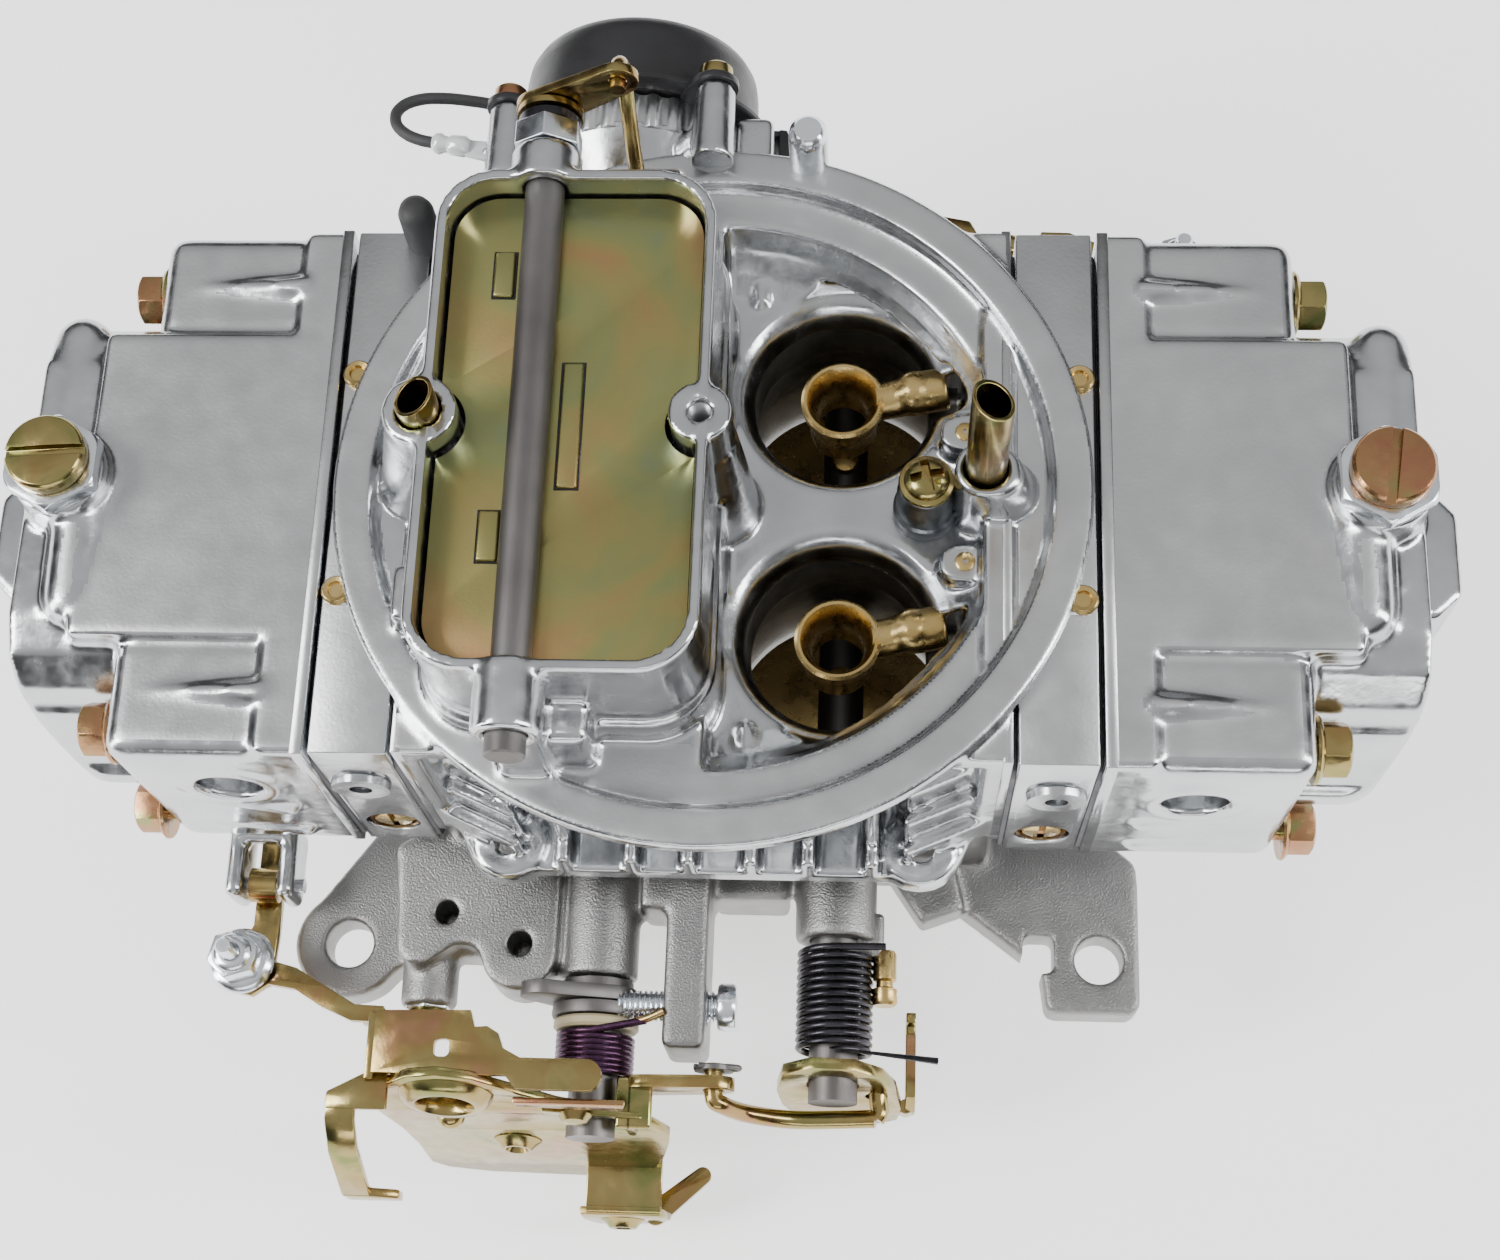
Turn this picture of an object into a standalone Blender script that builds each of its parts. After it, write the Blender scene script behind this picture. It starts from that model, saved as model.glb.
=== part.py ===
"""Four-barrel carburetor, modelled as an assembly of separate pieces.

Frame: the origin is the centre of the base flange's lower face. +Z is up, -X is the primary
(choke) end, +X is the secondary end and -Y is the throttle lever side. Lengths below are
millimetres; the builders scale them to metres.
"""
import math

import bmesh
import bpy
from mathutils import Matrix, Vector

MM = 0.001
GAP = 0.3                       # clearance left between pieces that touch
WELD = 0.000004                 # metres: points closer than this are one point

# Throttle body and base flange
FLANGE_HOLE = (71.45, 65.9)     # half of the 142.9 x 131.8 mm bolt pattern
FLANGE_HOLE_RADIUS = 4.5
FLANGE_THICK = 9.0
BODY_HALF = (50.0, 48.0)        # half size of the casting around the bores
THROTTLE_TOP = 30.5
BORE = (22.0, 23.0)             # half of the bore spacing, across X and Y
THROTTLE_BORE_RADIUS = 21.45
SHAFT_Z = 16.0
SHAFT_RADIUS = 4.5
PLATE_THICK = 1.5
PLATE_RADIUS = 20.7

# Main body and air horn
MAIN_BOTTOM = 32.0
MAIN_HALF = (51.0, 47.0)
DECK_Z = 66.5                   # floor inside the air horn ring
RING_TOP = 79.0
RING_RADIUS = 65.1              # 130.2 mm air cleaner seat
RING_INNER = 58.5
VENTURI_RADIUS = 15.6
VENT_X = (-45.5, 46.5)          # vent tubes of the two bowls
LUG = (37.0, 53.0)              # screw lugs along the long sides

# Choke tower
TOWER_X = (-45.5, 1.5)
TOWER_HALF_Y = 44.5
TOWER_TOP = 105.0
TOWER_WALL = 3.2
CHOKE_X = -28.0
CHOKE_Z = 101.0
CHOKE_SHAFT_RADIUS = 3.3

# Fuel bowls and metering blocks, measured outwards from the body centre
METER_GASKET_X = (51.3, 52.1)
METER_X = (52.4, 65.2)
BOWL_GASKET_X = (65.5, 66.3)
BOWL_X = (66.6, 101.5)
BOWL_NOSE_X = 121.0
BOWL_TOP = 76.5
BOWL_BOTTOM = 24.0
BOWL_HALF_Y = 50.0
BOWL_SCREWS = ((42.0, 64.5), (45.8, 31.0))     # (distance from the centre plane, height)
SCREW_RADIUS = 2.4
LEVEL_X = 113.0
LEVEL_SEAT_Z = 80.5

# Choke housing on the far side
HOUSING_X = -17.5
HOUSING_Z = 60.0
HOUSING_POSTS = (55.0, 145.0, 270.0)           # angles of the retainer screws
POST_CIRCLE = 27.5

# Linkage on the near side
LEVER_Y = (-102.0, -99.5)
ARM_Y = (-94.5, -92.0)
LINK_Y = -96.8
PRIMARY_PIN = (0.5, 21.0)
SECONDARY_PIN = (30.0, 9.9)
LINK_RADIUS = 1.7
PUMP_ARM_X = 54.0
PUMP_ARM_Z = 14.0
PUMP_ARM_Y = (81.0, 83.4)
PUMP_BOLT = (88.0, 73.0)
PUMP_PIVOT = (57.0, 17.0)       # pump lever pin: distance from centre plane, height
CLEVIS_X = (80.0, 93.0)

PRIMARY, SECONDARY = -1, 1
NAMES = {PRIMARY: "primary", SECONDARY: "secondary"}


def clear_scene():
    for item in list(bpy.data.objects):
        bpy.data.objects.remove(item, do_unlink=True)


def new_collection(name):
    group = bpy.data.collections.new(name)
    bpy.context.scene.collection.children.link(group)
    return group


def material(name, colour, metallic, roughness):
    mat = bpy.data.materials.get(name)
    if mat is None:
        mat = bpy.data.materials.new(name)
        mat.use_nodes = True
        shader = mat.node_tree.nodes["Principled BSDF"]
        shader.inputs["Base Color"].default_value = (*colour, 1.0)
        shader.inputs["Metallic"].default_value = metallic
        shader.inputs["Roughness"].default_value = roughness
    return mat


def add_object(name, data):
    item = bpy.data.objects.new(name, data)
    PARTS.objects.link(item)
    return item


def mesh_from(bm, name):
    mesh = bpy.data.meshes.new(name)
    bmesh.ops.recalc_face_normals(bm, faces=bm.faces)
    bm.to_mesh(mesh)
    bm.free()
    return add_object(name, mesh)


def span(low, high):
    return min(low, high), max(low, high)


def box(x, y, z, rounding=0.0, segments=2):
    """A block between the given x, y and z ranges, its edges rounded if asked."""
    ranges = [span(*x), span(*y), span(*z)]
    bm = bmesh.new()
    bmesh.ops.create_cube(bm, size=1.0)
    size = [(high - low) * MM for low, high in ranges]
    centre = [(high + low) * MM / 2 for low, high in ranges]
    bmesh.ops.scale(bm, vec=size, verts=bm.verts)
    bmesh.ops.translate(bm, vec=centre, verts=bm.verts)
    item = mesh_from(bm, "block")
    if rounding:
        bevel = item.modifiers.new("round", "BEVEL")
        bevel.width = rounding * MM
        bevel.segments = segments
        bake(item)
    return item


def rod(start, end, radius, sides=16, end_radius=None):
    """A round bar, or a cone where the end has its own radius."""
    a = Vector(start) * MM
    b = Vector(end) * MM
    last = radius if end_radius is None else end_radius
    turn = (b - a).to_track_quat("Z", "Y").to_matrix().to_4x4()
    place = Matrix.Translation((a + b) / 2) @ turn
    bm = bmesh.new()
    bmesh.ops.create_cone(bm, cap_ends=True, segments=sides, radius1=radius * MM,
                          radius2=last * MM, depth=(b - a).length, matrix=place)
    return mesh_from(bm, "rod")


def turned(profile, centre, axis="Z", sides=32, closed=False):
    """A turned shape from (radius, height) points that run down its outer side."""
    bm = bmesh.new()
    verts = [bm.verts.new((r * MM, 0.0, h * MM)) for r, h in profile]
    for first, second in zip(verts, verts[1:]):
        bm.edges.new((first, second))
    if closed:
        bm.edges.new((verts[-1], verts[0]))
    mesh = bpy.data.meshes.new("turned")
    bm.to_mesh(mesh)
    bm.free()
    item = add_object("turned", mesh)
    screw = item.modifiers.new("turn", "SCREW")
    screw.steps = sides
    screw.render_steps = sides
    screw.use_merge_vertices = True
    screw.merge_threshold = 0.00001
    bake(item)
    if axis == "Y":
        item.data.transform(Matrix.Rotation(-math.pi / 2, 4, "X"))
    item.data.transform(Matrix.Translation(Vector(centre) * MM))
    return item


PLANES = {
    "Z": Matrix.Identity(4),
    "Y": Matrix.Rotation(math.pi / 2, 4, "X"),
    "X": Matrix(((0, 0, 1, 0), (1, 0, 0, 0), (0, 1, 0, 0), (0, 0, 0, 1))),
}


def plate(outline, axis, low, high, holes=()):
    """A flat piece: an outline across the axis, between two places along it, with holes."""
    low, high = span(low, high)
    curve = bpy.data.curves.new("plate", "CURVE")
    curve.dimensions = "2D"
    curve.fill_mode = "BOTH"
    curve.extrude = (high - low) * MM / 2
    for points in (outline, *holes):
        spline = curve.splines.new("POLY")
        spline.points.add(len(points) - 1)
        for point, (a, b) in zip(spline.points, points):
            point.co = (a * MM, b * MM, 0.0, 1.0)
        spline.use_cyclic_u = True
    item = add_object("plate", curve)
    middle = (low + high) * MM / 2
    shift = {"X": (middle, 0, 0), "Y": (0, middle, 0), "Z": (0, 0, middle)}[axis]
    item.matrix_world = Matrix.Translation(shift) @ PLANES[axis]
    return curve_to_mesh(item)


def wire(points, radius):
    """A round wire along the given points, with filled ends."""
    curve = bpy.data.curves.new("wire", "CURVE")
    curve.dimensions = "3D"
    curve.bevel_depth = radius * MM
    curve.bevel_resolution = 2
    curve.use_fill_caps = True
    spline = curve.splines.new("POLY")
    spline.points.add(len(points) - 1)
    for point, place in zip(spline.points, points):
        point.co = (*(Vector(place) * MM), 1.0)
    return curve_to_mesh(add_object("wire", curve))


def curve_to_mesh(item):
    bpy.context.view_layer.update()
    ready = item.evaluated_get(bpy.context.evaluated_depsgraph_get())
    mesh = bpy.data.meshes.new_from_object(ready)
    mesh.transform(item.matrix_world)
    bm = bmesh.new()
    bm.from_mesh(mesh)
    bmesh.ops.remove_doubles(bm, verts=bm.verts, dist=0.000002)
    bmesh.ops.recalc_face_normals(bm, faces=bm.faces)
    bm.to_mesh(mesh)
    bm.free()
    bpy.data.objects.remove(item, do_unlink=True)
    return add_object("shape", mesh)


def bake(item):
    """Replace an object's mesh by the result of its modifiers."""
    bpy.context.view_layer.update()
    ready = item.evaluated_get(bpy.context.evaluated_depsgraph_get())
    mesh = bpy.data.meshes.new_from_object(ready)
    item.modifiers.clear()
    item.data = mesh


def weld(mesh):
    """Merge the near-coincident points that a Boolean can leave."""
    bm = bmesh.new()
    bm.from_mesh(mesh)
    bmesh.ops.remove_doubles(bm, verts=bm.verts, dist=WELD)
    bmesh.ops.dissolve_degenerate(bm, edges=bm.edges, dist=WELD)
    bm.to_mesh(mesh)
    bm.free()


def combine(base, others, operation):
    for other in others:
        step = base.modifiers.new(operation.lower(), "BOOLEAN")
        step.operation = operation
        step.solver = "EXACT"
        step.object = other
        bake(base)
        weld(base.data)
        bpy.data.objects.remove(other, do_unlink=True)
    return base


def join(base, *others):
    return combine(base, others, "UNION")


def cut(base, *others):
    return combine(base, others, "DIFFERENCE")


def name_part(item, name, mat, pivot=(0.0, 0.0, 0.0)):
    """Finish a sub-part; a moving one has its origin at a point of its joint's axis."""
    origin = Vector(pivot) * MM
    item.data.transform(Matrix.Translation(-origin))
    item.location = origin
    item.name = name
    item.data.name = name
    item.data.materials.clear()
    item.data.materials.append(mat)
    item.data.shade_smooth()
    item.data.set_sharp_from_angle(angle=math.radians(35))
    return item


def circle(x, y, radius, count=16, start=0.0):
    turn = 2 * math.pi / count
    return [(x + radius * math.cos(start + i * turn), y + radius * math.sin(start + i * turn))
            for i in range(count)]


def rounded(x, y, radius, steps=5):
    """Outline of a rectangle with round corners."""
    (x0, x1), (y0, y1) = span(*x), span(*y)
    corners = ((x1 - radius, y1 - radius, 0), (x0 + radius, y1 - radius, 90),
               (x0 + radius, y0 + radius, 180), (x1 - radius, y0 + radius, 270))
    points = []
    for cx, cy, start in corners:
        for i in range(steps + 1):
            angle = math.radians(start + 90 * i / steps)
            points.append((cx + radius * math.cos(angle), cy + radius * math.sin(angle)))
    return points


def capsule(start, end, radius, end_radius=None, steps=7):
    """Outline of a strap with round ends."""
    last = radius if end_radius is None else end_radius
    along = math.atan2(end[1] - start[1], end[0] - start[0])
    points = []
    for (cx, cy), r, turn in ((end, last, -90), (start, radius, 90)):
        for i in range(steps + 1):
            angle = along + math.radians(turn + 180 * i / steps)
            points.append((cx + r * math.cos(angle), cy + r * math.sin(angle)))
    return points


def hexagon(x, y, across_flats):
    return circle(x, y, across_flats / math.sqrt(3), 6, math.pi / 6)


# ---------------------------------------------------------------- castings

def flange_outline():
    """The base flange: a rectangle with a rounded foot round each bolt hole."""
    corner = [(54.0, 30.0)]
    for i in range(8):
        angle = math.radians(-38 + 24.5 * i)
        corner.append((FLANGE_HOLE[0] + 10.5 * math.cos(angle),
                       FLANGE_HOLE[1] + 10.5 * math.sin(angle)))
    corner.append((34.0, 51.0))
    points = []
    for sx, sy in ((1, 1), (-1, 1), (-1, -1), (1, -1)):
        run = [(sx * x, sy * y) for x, y in corner]
        points += run if sx * sy > 0 else run[::-1]
    return points


def throttle_body():
    body = join(plate(flange_outline(), "Z", 0, FLANGE_THICK),
                box((-BODY_HALF[0], BODY_HALF[0]), (-BODY_HALF[1], BODY_HALF[1]),
                    (3.0, THROTTLE_TOP), 2.0))
    for sx in (-1, 1):
        for sy in (-1, 1):
            hole = (sx * FLANGE_HOLE[0], sy * FLANGE_HOLE[1])
            body = cut(body, rod((*hole, -1), (*hole, FLANGE_THICK + 1), FLANGE_HOLE_RADIUS))
    near = -BODY_HALF[1]
    body = join(body,
                rod((-BORE[0], near + 4, SHAFT_Z), (-BORE[0], -74.0, SHAFT_Z), 7.2),
                rod((BORE[0], near + 4, SHAFT_Z), (BORE[0], -66.0, SHAFT_Z), 7.4),
                rod((-BORE[0], -near - 4, SHAFT_Z), (-BORE[0], 58.0, SHAFT_Z), 7.2),
                rod((BORE[0], -near - 4, SHAFT_Z), (BORE[0], 62.0, SHAFT_Z), 7.2))
    pad = plate([(-60, -52), (-60, -72), (-52, -76), (-44, -70), (-36, -78), (-30, -74),
                 (-30, -46), (-50, -44)], "Z", 8.0, 22.0)
    body = join(body, pad)
    body = cut(body, rod((-50.5, -63, 10), (-50.5, -63, 23), 2.4, 12),
               rod((-36.3, -68, 10), (-36.3, -68, 23), 2.4, 12))
    for sx in (-1, 1):
        boss = rod((sx * PUMP_ARM_X, sx * 60.0, PUMP_ARM_Z),
                   (sx * PUMP_ARM_X, sx * 79.5, PUMP_ARM_Z), 5.2, 16)
        arm = box((sx * 40.0, sx * 58.0), (sx * 44.0, sx * 70.0), (8.5, 18.0))
        body = join(body, arm, boss)
    lug = box((-9.0, -1.0), (-88.0, -46.0), (6.0, 26.0), 1.0, 1)
    body = join(body, lug)
    body = cut(body, rod((-12, -79, 20), (4, -79, 20), 3.2, 12))
    for sx in (-1, 1):
        for sy in (-1, 1):
            x, y = sx * BORE[0], sy * BORE[1]
            body = cut(body, rod((x, y, -1), (x, y, THROTTLE_TOP + 1), THROTTLE_BORE_RADIUS, 24))
        x = sx * BORE[0]
        body = cut(body, rod((x, -90, SHAFT_Z), (x, 80, SHAFT_Z), SHAFT_RADIUS + GAP, 16))
    name_part(body, "throttle_body", CAST)


def throttle_gasket():
    x, y = BODY_HALF
    holes = [circle(sx * BORE[0], sy * BORE[1], THROTTLE_BORE_RADIUS, 20)
             for sx in (-1, 1) for sy in (-1, 1)]
    sheet = plate(rounded((-x, x), (-y + 1, y - 1), 3, 2), "Z", THROTTLE_TOP + GAP,
                  MAIN_BOTTOM - GAP, holes)
    name_part(sheet, "throttle_body_gasket", GASKET)


def main_body():
    hx, hy = MAIN_HALF
    horn = turned([(0, RING_TOP), (RING_RADIUS, RING_TOP), (RING_RADIUS, 75.2), (61.0, 72.8),
                   (50.6, 72.2), (46.0, 64.0), (0, 64.0)], (0, 0, 0), sides=40)
    body = join(box((-hx, hx), (-hy, hy), (MAIN_BOTTOM, 74.0)), horn,
                box((-51.4, 51.4), (-49.8, 49.8), (73.3, 77.6)))
    recess = turned([(0, RING_TOP + 1), (RING_INNER, RING_TOP + 1), (RING_INNER, 76.4),
                     (52.0, 75.0), (47.0, DECK_Z), (0, DECK_Z)], (0, 0, 0), sides=40)
    body = cut(body, recess)
    for sx in (-1, 1):
        for sy in (-1, 1):
            x, y = sx * LUG[0], sy * LUG[1]
            body = join(body, box((x - 6.2, x + 6.2), (sy * 44, y), (MAIN_BOTTOM + 0.6, 37.0)),
                        rod((x, y, MAIN_BOTTOM + 0.4), (x, y, 37.5), 6.0, 16))
            body = cut(body, rod((x, y, 31), (x, y, 39), 2.4, 10))
    body = join(body, choke_tower())
    tower = rounded((TOWER_X[0] + TOWER_WALL, TOWER_X[1] - TOWER_WALL),
                    (-TOWER_HALF_Y + TOWER_WALL, TOWER_HALF_Y - TOWER_WALL), 8.0)
    body = cut(body, plate(tower, "Z", DECK_Z - 2.0, TOWER_TOP + 1))
    for sx in (-1, 1):
        for sy in (-1, 1):
            body = cut(body, venturi(sx * BORE[0], sy * BORE[1]))
            slot_x = (sx * 34.0, sx * 44.0) if sx > 0 else (sx * 34.0, sx * 41.5)
            body = cut(body, box(slot_x, (sy * BORE[1] - 3.8, sy * BORE[1] + 3.8), (57.0, 70.0)))
    body = join(body, rod((0, 0, 60), (0, 0, 101.5), 4.7),
                rod((VENT_X[1], 0, 60), (VENT_X[1], 0, 86), 4.4),
                rod((VENT_X[0], 0, 64), (VENT_X[0], 0, 86), 4.6))
    body = cut(body, rod((0, 0, 84), (0, 0, 103), 2.0, 12),
               rod((CHOKE_X, -60, CHOKE_Z), (CHOKE_X, 60, CHOKE_Z), CHOKE_SHAFT_RADIUS + GAP, 20),
               rod((VENT_X[1], 0, 78), (VENT_X[1], 0, 88), 3.5 + GAP, 16),
               rod((VENT_X[0], 0, 78), (VENT_X[0], 0, TOWER_TOP + 1), 3.5 + GAP, 16),
               rod((36.8, 0, 60), (36.8, 0, 72), 2.6, 12),
               box((-20.0, -8.0), (51.0, 60.0), (50.0, RING_TOP + 1)))
    name_part(body, "main_body", POLISHED)


def choke_tower():
    wall = plate(rounded(TOWER_X, (-TOWER_HALF_Y, TOWER_HALF_Y), 10.0), "Z", 60.0, TOWER_TOP)
    near = box((CHOKE_X - 4.8, CHOKE_X + 4.8), (-55.0, -42.0), (72.0, TOWER_TOP), 0.8, 1)
    far = rod((CHOKE_X, 42.0, CHOKE_Z), (CHOKE_X, 49.5, CHOKE_Z), 6.0)
    return join(wall, near, far)


def venturi(x, y):
    throat = VENTURI_RADIUS
    return turned([(0, DECK_Z + 2.5), (throat + 4.8, DECK_Z + 2.5), (throat + 4.8, DECK_Z - 1.5),
                   (throat, 57.0), (throat + 4.8, MAIN_BOTTOM - 1), (0, MAIN_BOTTOM - 1)],
                  (x, y, 0), sides=16)


def metering_parts(side):
    name = NAMES[side]
    top = 71.5
    block = box((side * METER_X[0], side * METER_X[1]), (-49.5, 49.5), (BOWL_BOTTOM + 1, top),
                1.5, 1)
    wells = [box((side * 56.0, side * 70.0), (sy * 8.0, sy * 36.0), (34.0, 62.0))
             for sy in (-1, 1)]
    block = cut(block, *wells)
    block = cut(block, rod((side * 59, -60, 45), (side * 59, -40, 45), 4.2, 16))
    block = cut(block, *bowl_screw_holes(side, METER_X[0] - 1, METER_X[1] + 1))
    name_part(block, name + "_metering_block", POLISHED)
    for label, (low, high) in (("_metering_gasket", METER_GASKET_X),
                               ("_bowl_gasket", BOWL_GASKET_X)):
        holes = [circle(sy * y, z, SCREW_RADIUS + GAP, 8)
                 for y, z in BOWL_SCREWS for sy in (-1, 1)]
        holes.append(rounded((-34, 34), (36, 60), 4, 3))
        sheet = plate(rounded((-49.3, 49.3), (BOWL_BOTTOM + 1.2, top - 0.4), 3, 2), "X",
                      side * low, side * high, holes)
        name_part(sheet, name + label, GASKET)


def bowl_screw_holes(side, low, high):
    return [rod((side * low, sy * y, z), (side * high, sy * y, z), SCREW_RADIUS + GAP, 8)
            for y, z in BOWL_SCREWS for sy in (-1, 1)]


def fuel_bowl(side):
    near, far = BOWL_X
    shell = box((side * (near + 2), side * far), (-BOWL_HALF_Y, BOWL_HALF_Y),
                (BOWL_BOTTOM, BOWL_TOP), 5.0, 2)
    flat = box((side * near, side * (near + 12)), (-49.4, 49.4), (BOWL_BOTTOM + 1, 71.0), 1.0, 1)
    nose = box((side * 92.0, side * BOWL_NOSE_X), (-35.5, 35.5), (32.0, 73.5), 7.0, 2)
    keel = box((side * 112.0, side * 129.0), (-13.0, 13.0), (46.0, 66.0), 3.0, 1)
    tower = rod((side * LEVEL_X, 0, 66), (side * LEVEL_X, 0, LEVEL_SEAT_Z), 9.0)
    shell = join(shell, flat, nose, keel, tower)
    shell = cut(shell,
                box((side * (near - 1), side * 97.5), (-37.0, 37.0), (30.0, 70.0), 3.0, 1),
                box((side * 96.0, side * 118.0), (-31.0, 31.0), (36.0, 69.5), 2.0, 1),
                rod((side * LEVEL_X, 0, 60), (side * LEVEL_X, 0, 84), 5.5, 20))
    shell = cut(shell, *bowl_screw_holes(side, near - 1, far + 3))
    shell = cut(shell, rod((side * 82.0, -60, 62), (side * 82.0, -48.4, 62), 4.2, 16))
    name_part(shell, NAMES[side] + "_fuel_bowl", POLISHED)


def bowl_screws(side):
    start = BOWL_X[1] + GAP
    for number, (sy, (y, z)) in enumerate((sy, spot) for spot in BOWL_SCREWS for sy in (-1, 1)):
        shank = rod((side * 53.0, sy * y, z), (side * (start + 1), sy * y, z), SCREW_RADIUS, 8)
        washer = rod((side * start, sy * y, z), (side * (start + 1.2), sy * y, z), 5.2, 12)
        head = plate(hexagon(sy * y, z, 7.9), "X", side * (start + 0.8), side * (start + 5.4))
        name_part(join(shank, washer, head), f"{NAMES[side]}_bowl_screw_{number + 1}", BRASS)


def level_adjuster(side):
    x = side * LEVEL_X
    base = LEVEL_SEAT_Z + GAP
    nut = join(plate(hexagon(x, 0, 15.8), "Z", base, base + 3.2),
               rod((x, 0, 64), (x, 0, base + 1), 5.1))
    nut = cut(nut, rod((x, 0, 70), (x, 0, base + 4), 3.2, 16))
    name_part(nut, NAMES[side] + "_level_nut", ZINC)
    low = base + 3.2 + GAP
    head = join(rod((x, 0, low), (x, 0, low + 3.2), 6.7), rod((x, 0, 73), (x, 0, low + 1), 2.8, 16))
    turn = Matrix.Rotation(math.radians(80 if side == SECONDARY else 0), 4, "Z")
    slot = box((-8, 8), (-0.8, 0.8), (0, 3))
    slot.data.transform(Matrix.Translation(Vector((x, 0, low + 1.9)) * MM) @ turn)
    name_part(cut(head, slot), NAMES[side] + "_level_screw", GOLD)


def fuel_float(side):
    body = box((side * 71.0, side * 93.0), (-30.0, 30.0), (48.0, 60.0), 3.0, 2)
    arm = box((side * 88.0, side * 104.0), (-5.0, 5.0), (57.0, 59.5))
    hinge = rod((side * 104.0, -9, 60), (side * 104.0, 9, 60), 2.0, 12)
    name_part(join(body, arm, hinge), NAMES[side] + "_float", FLOAT, (side * 104.0, 0, 60))


def pump_cover(side):
    """Accelerator pump cover under the bowl, with the clevis ears of its lever."""
    lo, hi = CLEVIS_X
    toward = side                  # primary lever faces -Y, secondary faces +Y
    cover = rod((side * 84.0, 0, BOWL_BOTTOM - GAP), (side * 84.0, 0, BOWL_BOTTOM - 6.0), 20.0)
    strap = box((side * (lo + 1), side * (hi - 1)), (0, toward * 50.0),
                (BOWL_BOTTOM - 4.0, BOWL_BOTTOM - 2 * GAP))
    cover = join(cover, strap)
    for x in ((lo, lo + 3.2), (hi - 3.2, hi)):
        ear = box((side * x[0], side * x[1]), (toward * 46.0, toward * 60.0),
                  (12.0, BOWL_BOTTOM - 1.0), 0.6, 1)
        cover = join(cover, ear)
    y, z = PUMP_PIVOT
    pin = rod((side * (lo - 1.0), toward * y, z), (side * (hi + 1.0), toward * y, z), 1.4, 12)
    name_part(join(cover, pin), NAMES[side] + "_pump_cover", POLISHED)


# ---------------------------------------------------------------- air and fuel fittings

def booster(side, sy, label):
    x, y = side * BORE[0], sy * BORE[1]
    ring = turned([(7.2, 63.5), (7.2, 61.0), (5.8, 57.5), (5.8, 51.0), (4.6, 51.0), (4.4, 58.0),
                   (5.9, 63.5)], (x, y, 0), sides=16, closed=True)
    arm = rod((x + side * 6.2, y, 60.5), (x + side * 18.5, y, 60.5), 2.6, 12)
    name_part(join(ring, arm), f"{NAMES[side]}_booster_{label}", BRASS)


def discharge_nozzle():
    x = 36.8
    post = join(rod((x, 0, DECK_Z + GAP), (x, 0, 77.5), 4.5),
                rod((x - 2, -2.5, 73), (x - 13, -11, 71), 0.9, 8),
                rod((x - 2, 2.5, 73), (x - 13, 11, 71), 0.9, 8))
    post = cut(post, rod((x, 0, 60), (x, 0, 80), 2.6, 12))
    name_part(post, "discharge_nozzle", CAST)
    screw = join(rod((x, 0, 61), (x, 0, 79), 2.2, 12),
                 rod((x, 0, 77.8), (x, 0, 81.2), 4.2, 20, 3.0))
    screw = cut(screw, box((x - 2.4, x + 2.4), (-0.5, 0.5), (79.6, 82)),
                box((x - 0.5, x + 0.5), (-2.4, 2.4), (79.6, 82)))
    name_part(screw, "discharge_nozzle_screw", GOLD)


def vent_tube(x, label):
    tube = turned([(3.5, 114.0), (3.5, 78.6), (2.7, 78.6), (2.7, 114.0)], (x, 0, 0), sides=20,
                  closed=True)
    slant = box((-8, 8), (-8, 8), (0, 12))
    slant.data.transform(Matrix.Translation(Vector((x, 0, 110.0)) * MM)
                         @ Matrix.Rotation(math.radians(24 if x > 0 else -24), 4, "Y"))
    name_part(cut(tube, slant), label + "_vent_tube", GOLD)


def idle_screw():
    y, z = -79.0, 20.0
    stem = join(rod((-13.2, y, z), (6.0, y, z), 2.9, 16), rod((5.0, y, z), (8.6, y, z), 4.3, 20))
    name_part(cut(stem, box((7.4, 9.0), (y - 5, y + 5), (z - 0.6, z + 0.6))),
              "curb_idle_screw", ZINC, (0, y, z))


# ---------------------------------------------------------------- choke

def choke_parts():
    shaft = join(rod((CHOKE_X, -50.5, CHOKE_Z), (CHOKE_X, 57.5, CHOKE_Z), CHOKE_SHAFT_RADIUS, 20),
                 plate(hexagon(CHOKE_X, CHOKE_Z, 10.0), "Y", 49.8, 54.0))
    pivot = (CHOKE_X, 0, CHOKE_Z)
    name_part(shaft, "choke_shaft", SHAFT, pivot)
    inner = TOWER_WALL + 0.5
    outer = TOWER_WALL + 1.1    # the edge that swings up also swings out
    top = CHOKE_Z - CHOKE_SHAFT_RADIUS - GAP
    leaf = plate(rounded((TOWER_X[0] + outer, TOWER_X[1] - inner),
                         (-TOWER_HALF_Y + inner, TOWER_HALF_Y - inner), 7.6), "Z", top - 1.2, top)
    leaf = cut(leaf, rod((0, 0, top - 3), (0, 0, top + 3), 6.6),
               rod((VENT_X[0], 0, top - 3), (VENT_X[0], 0, top + 3), 7.6))
    name_part(leaf, "choke_plate", GOLD, pivot)
    tip = lever_tip()
    arm = plate(capsule((CHOKE_X, CHOKE_Z), tip, 4.6, 3.6), "Y", 57.8, 59.6,
                [circle(*tip, 1.9, 12)])
    name_part(arm, "choke_lever", GOLD, pivot)
    x, z = tip
    route = [(x, 56.4, z), (x, 61.2, z), (x + 0.2, 62.4, z - 1.2), (x + 0.4, 61.6, z - 5.0),
             (x + 0.8, 57.0, z - 14.0), (x + 1.2, 55.6, z - 22.0), (x + 1.4, 55.4, z - 40.0)]
    name_part(wire(route, 1.2), "choke_rod", GOLD, (x, 57.2, z))


def lever_tip():
    reach, angle = 15.0, math.radians(35)
    return CHOKE_X + reach * math.cos(angle), CHOKE_Z + reach * math.sin(angle)


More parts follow.
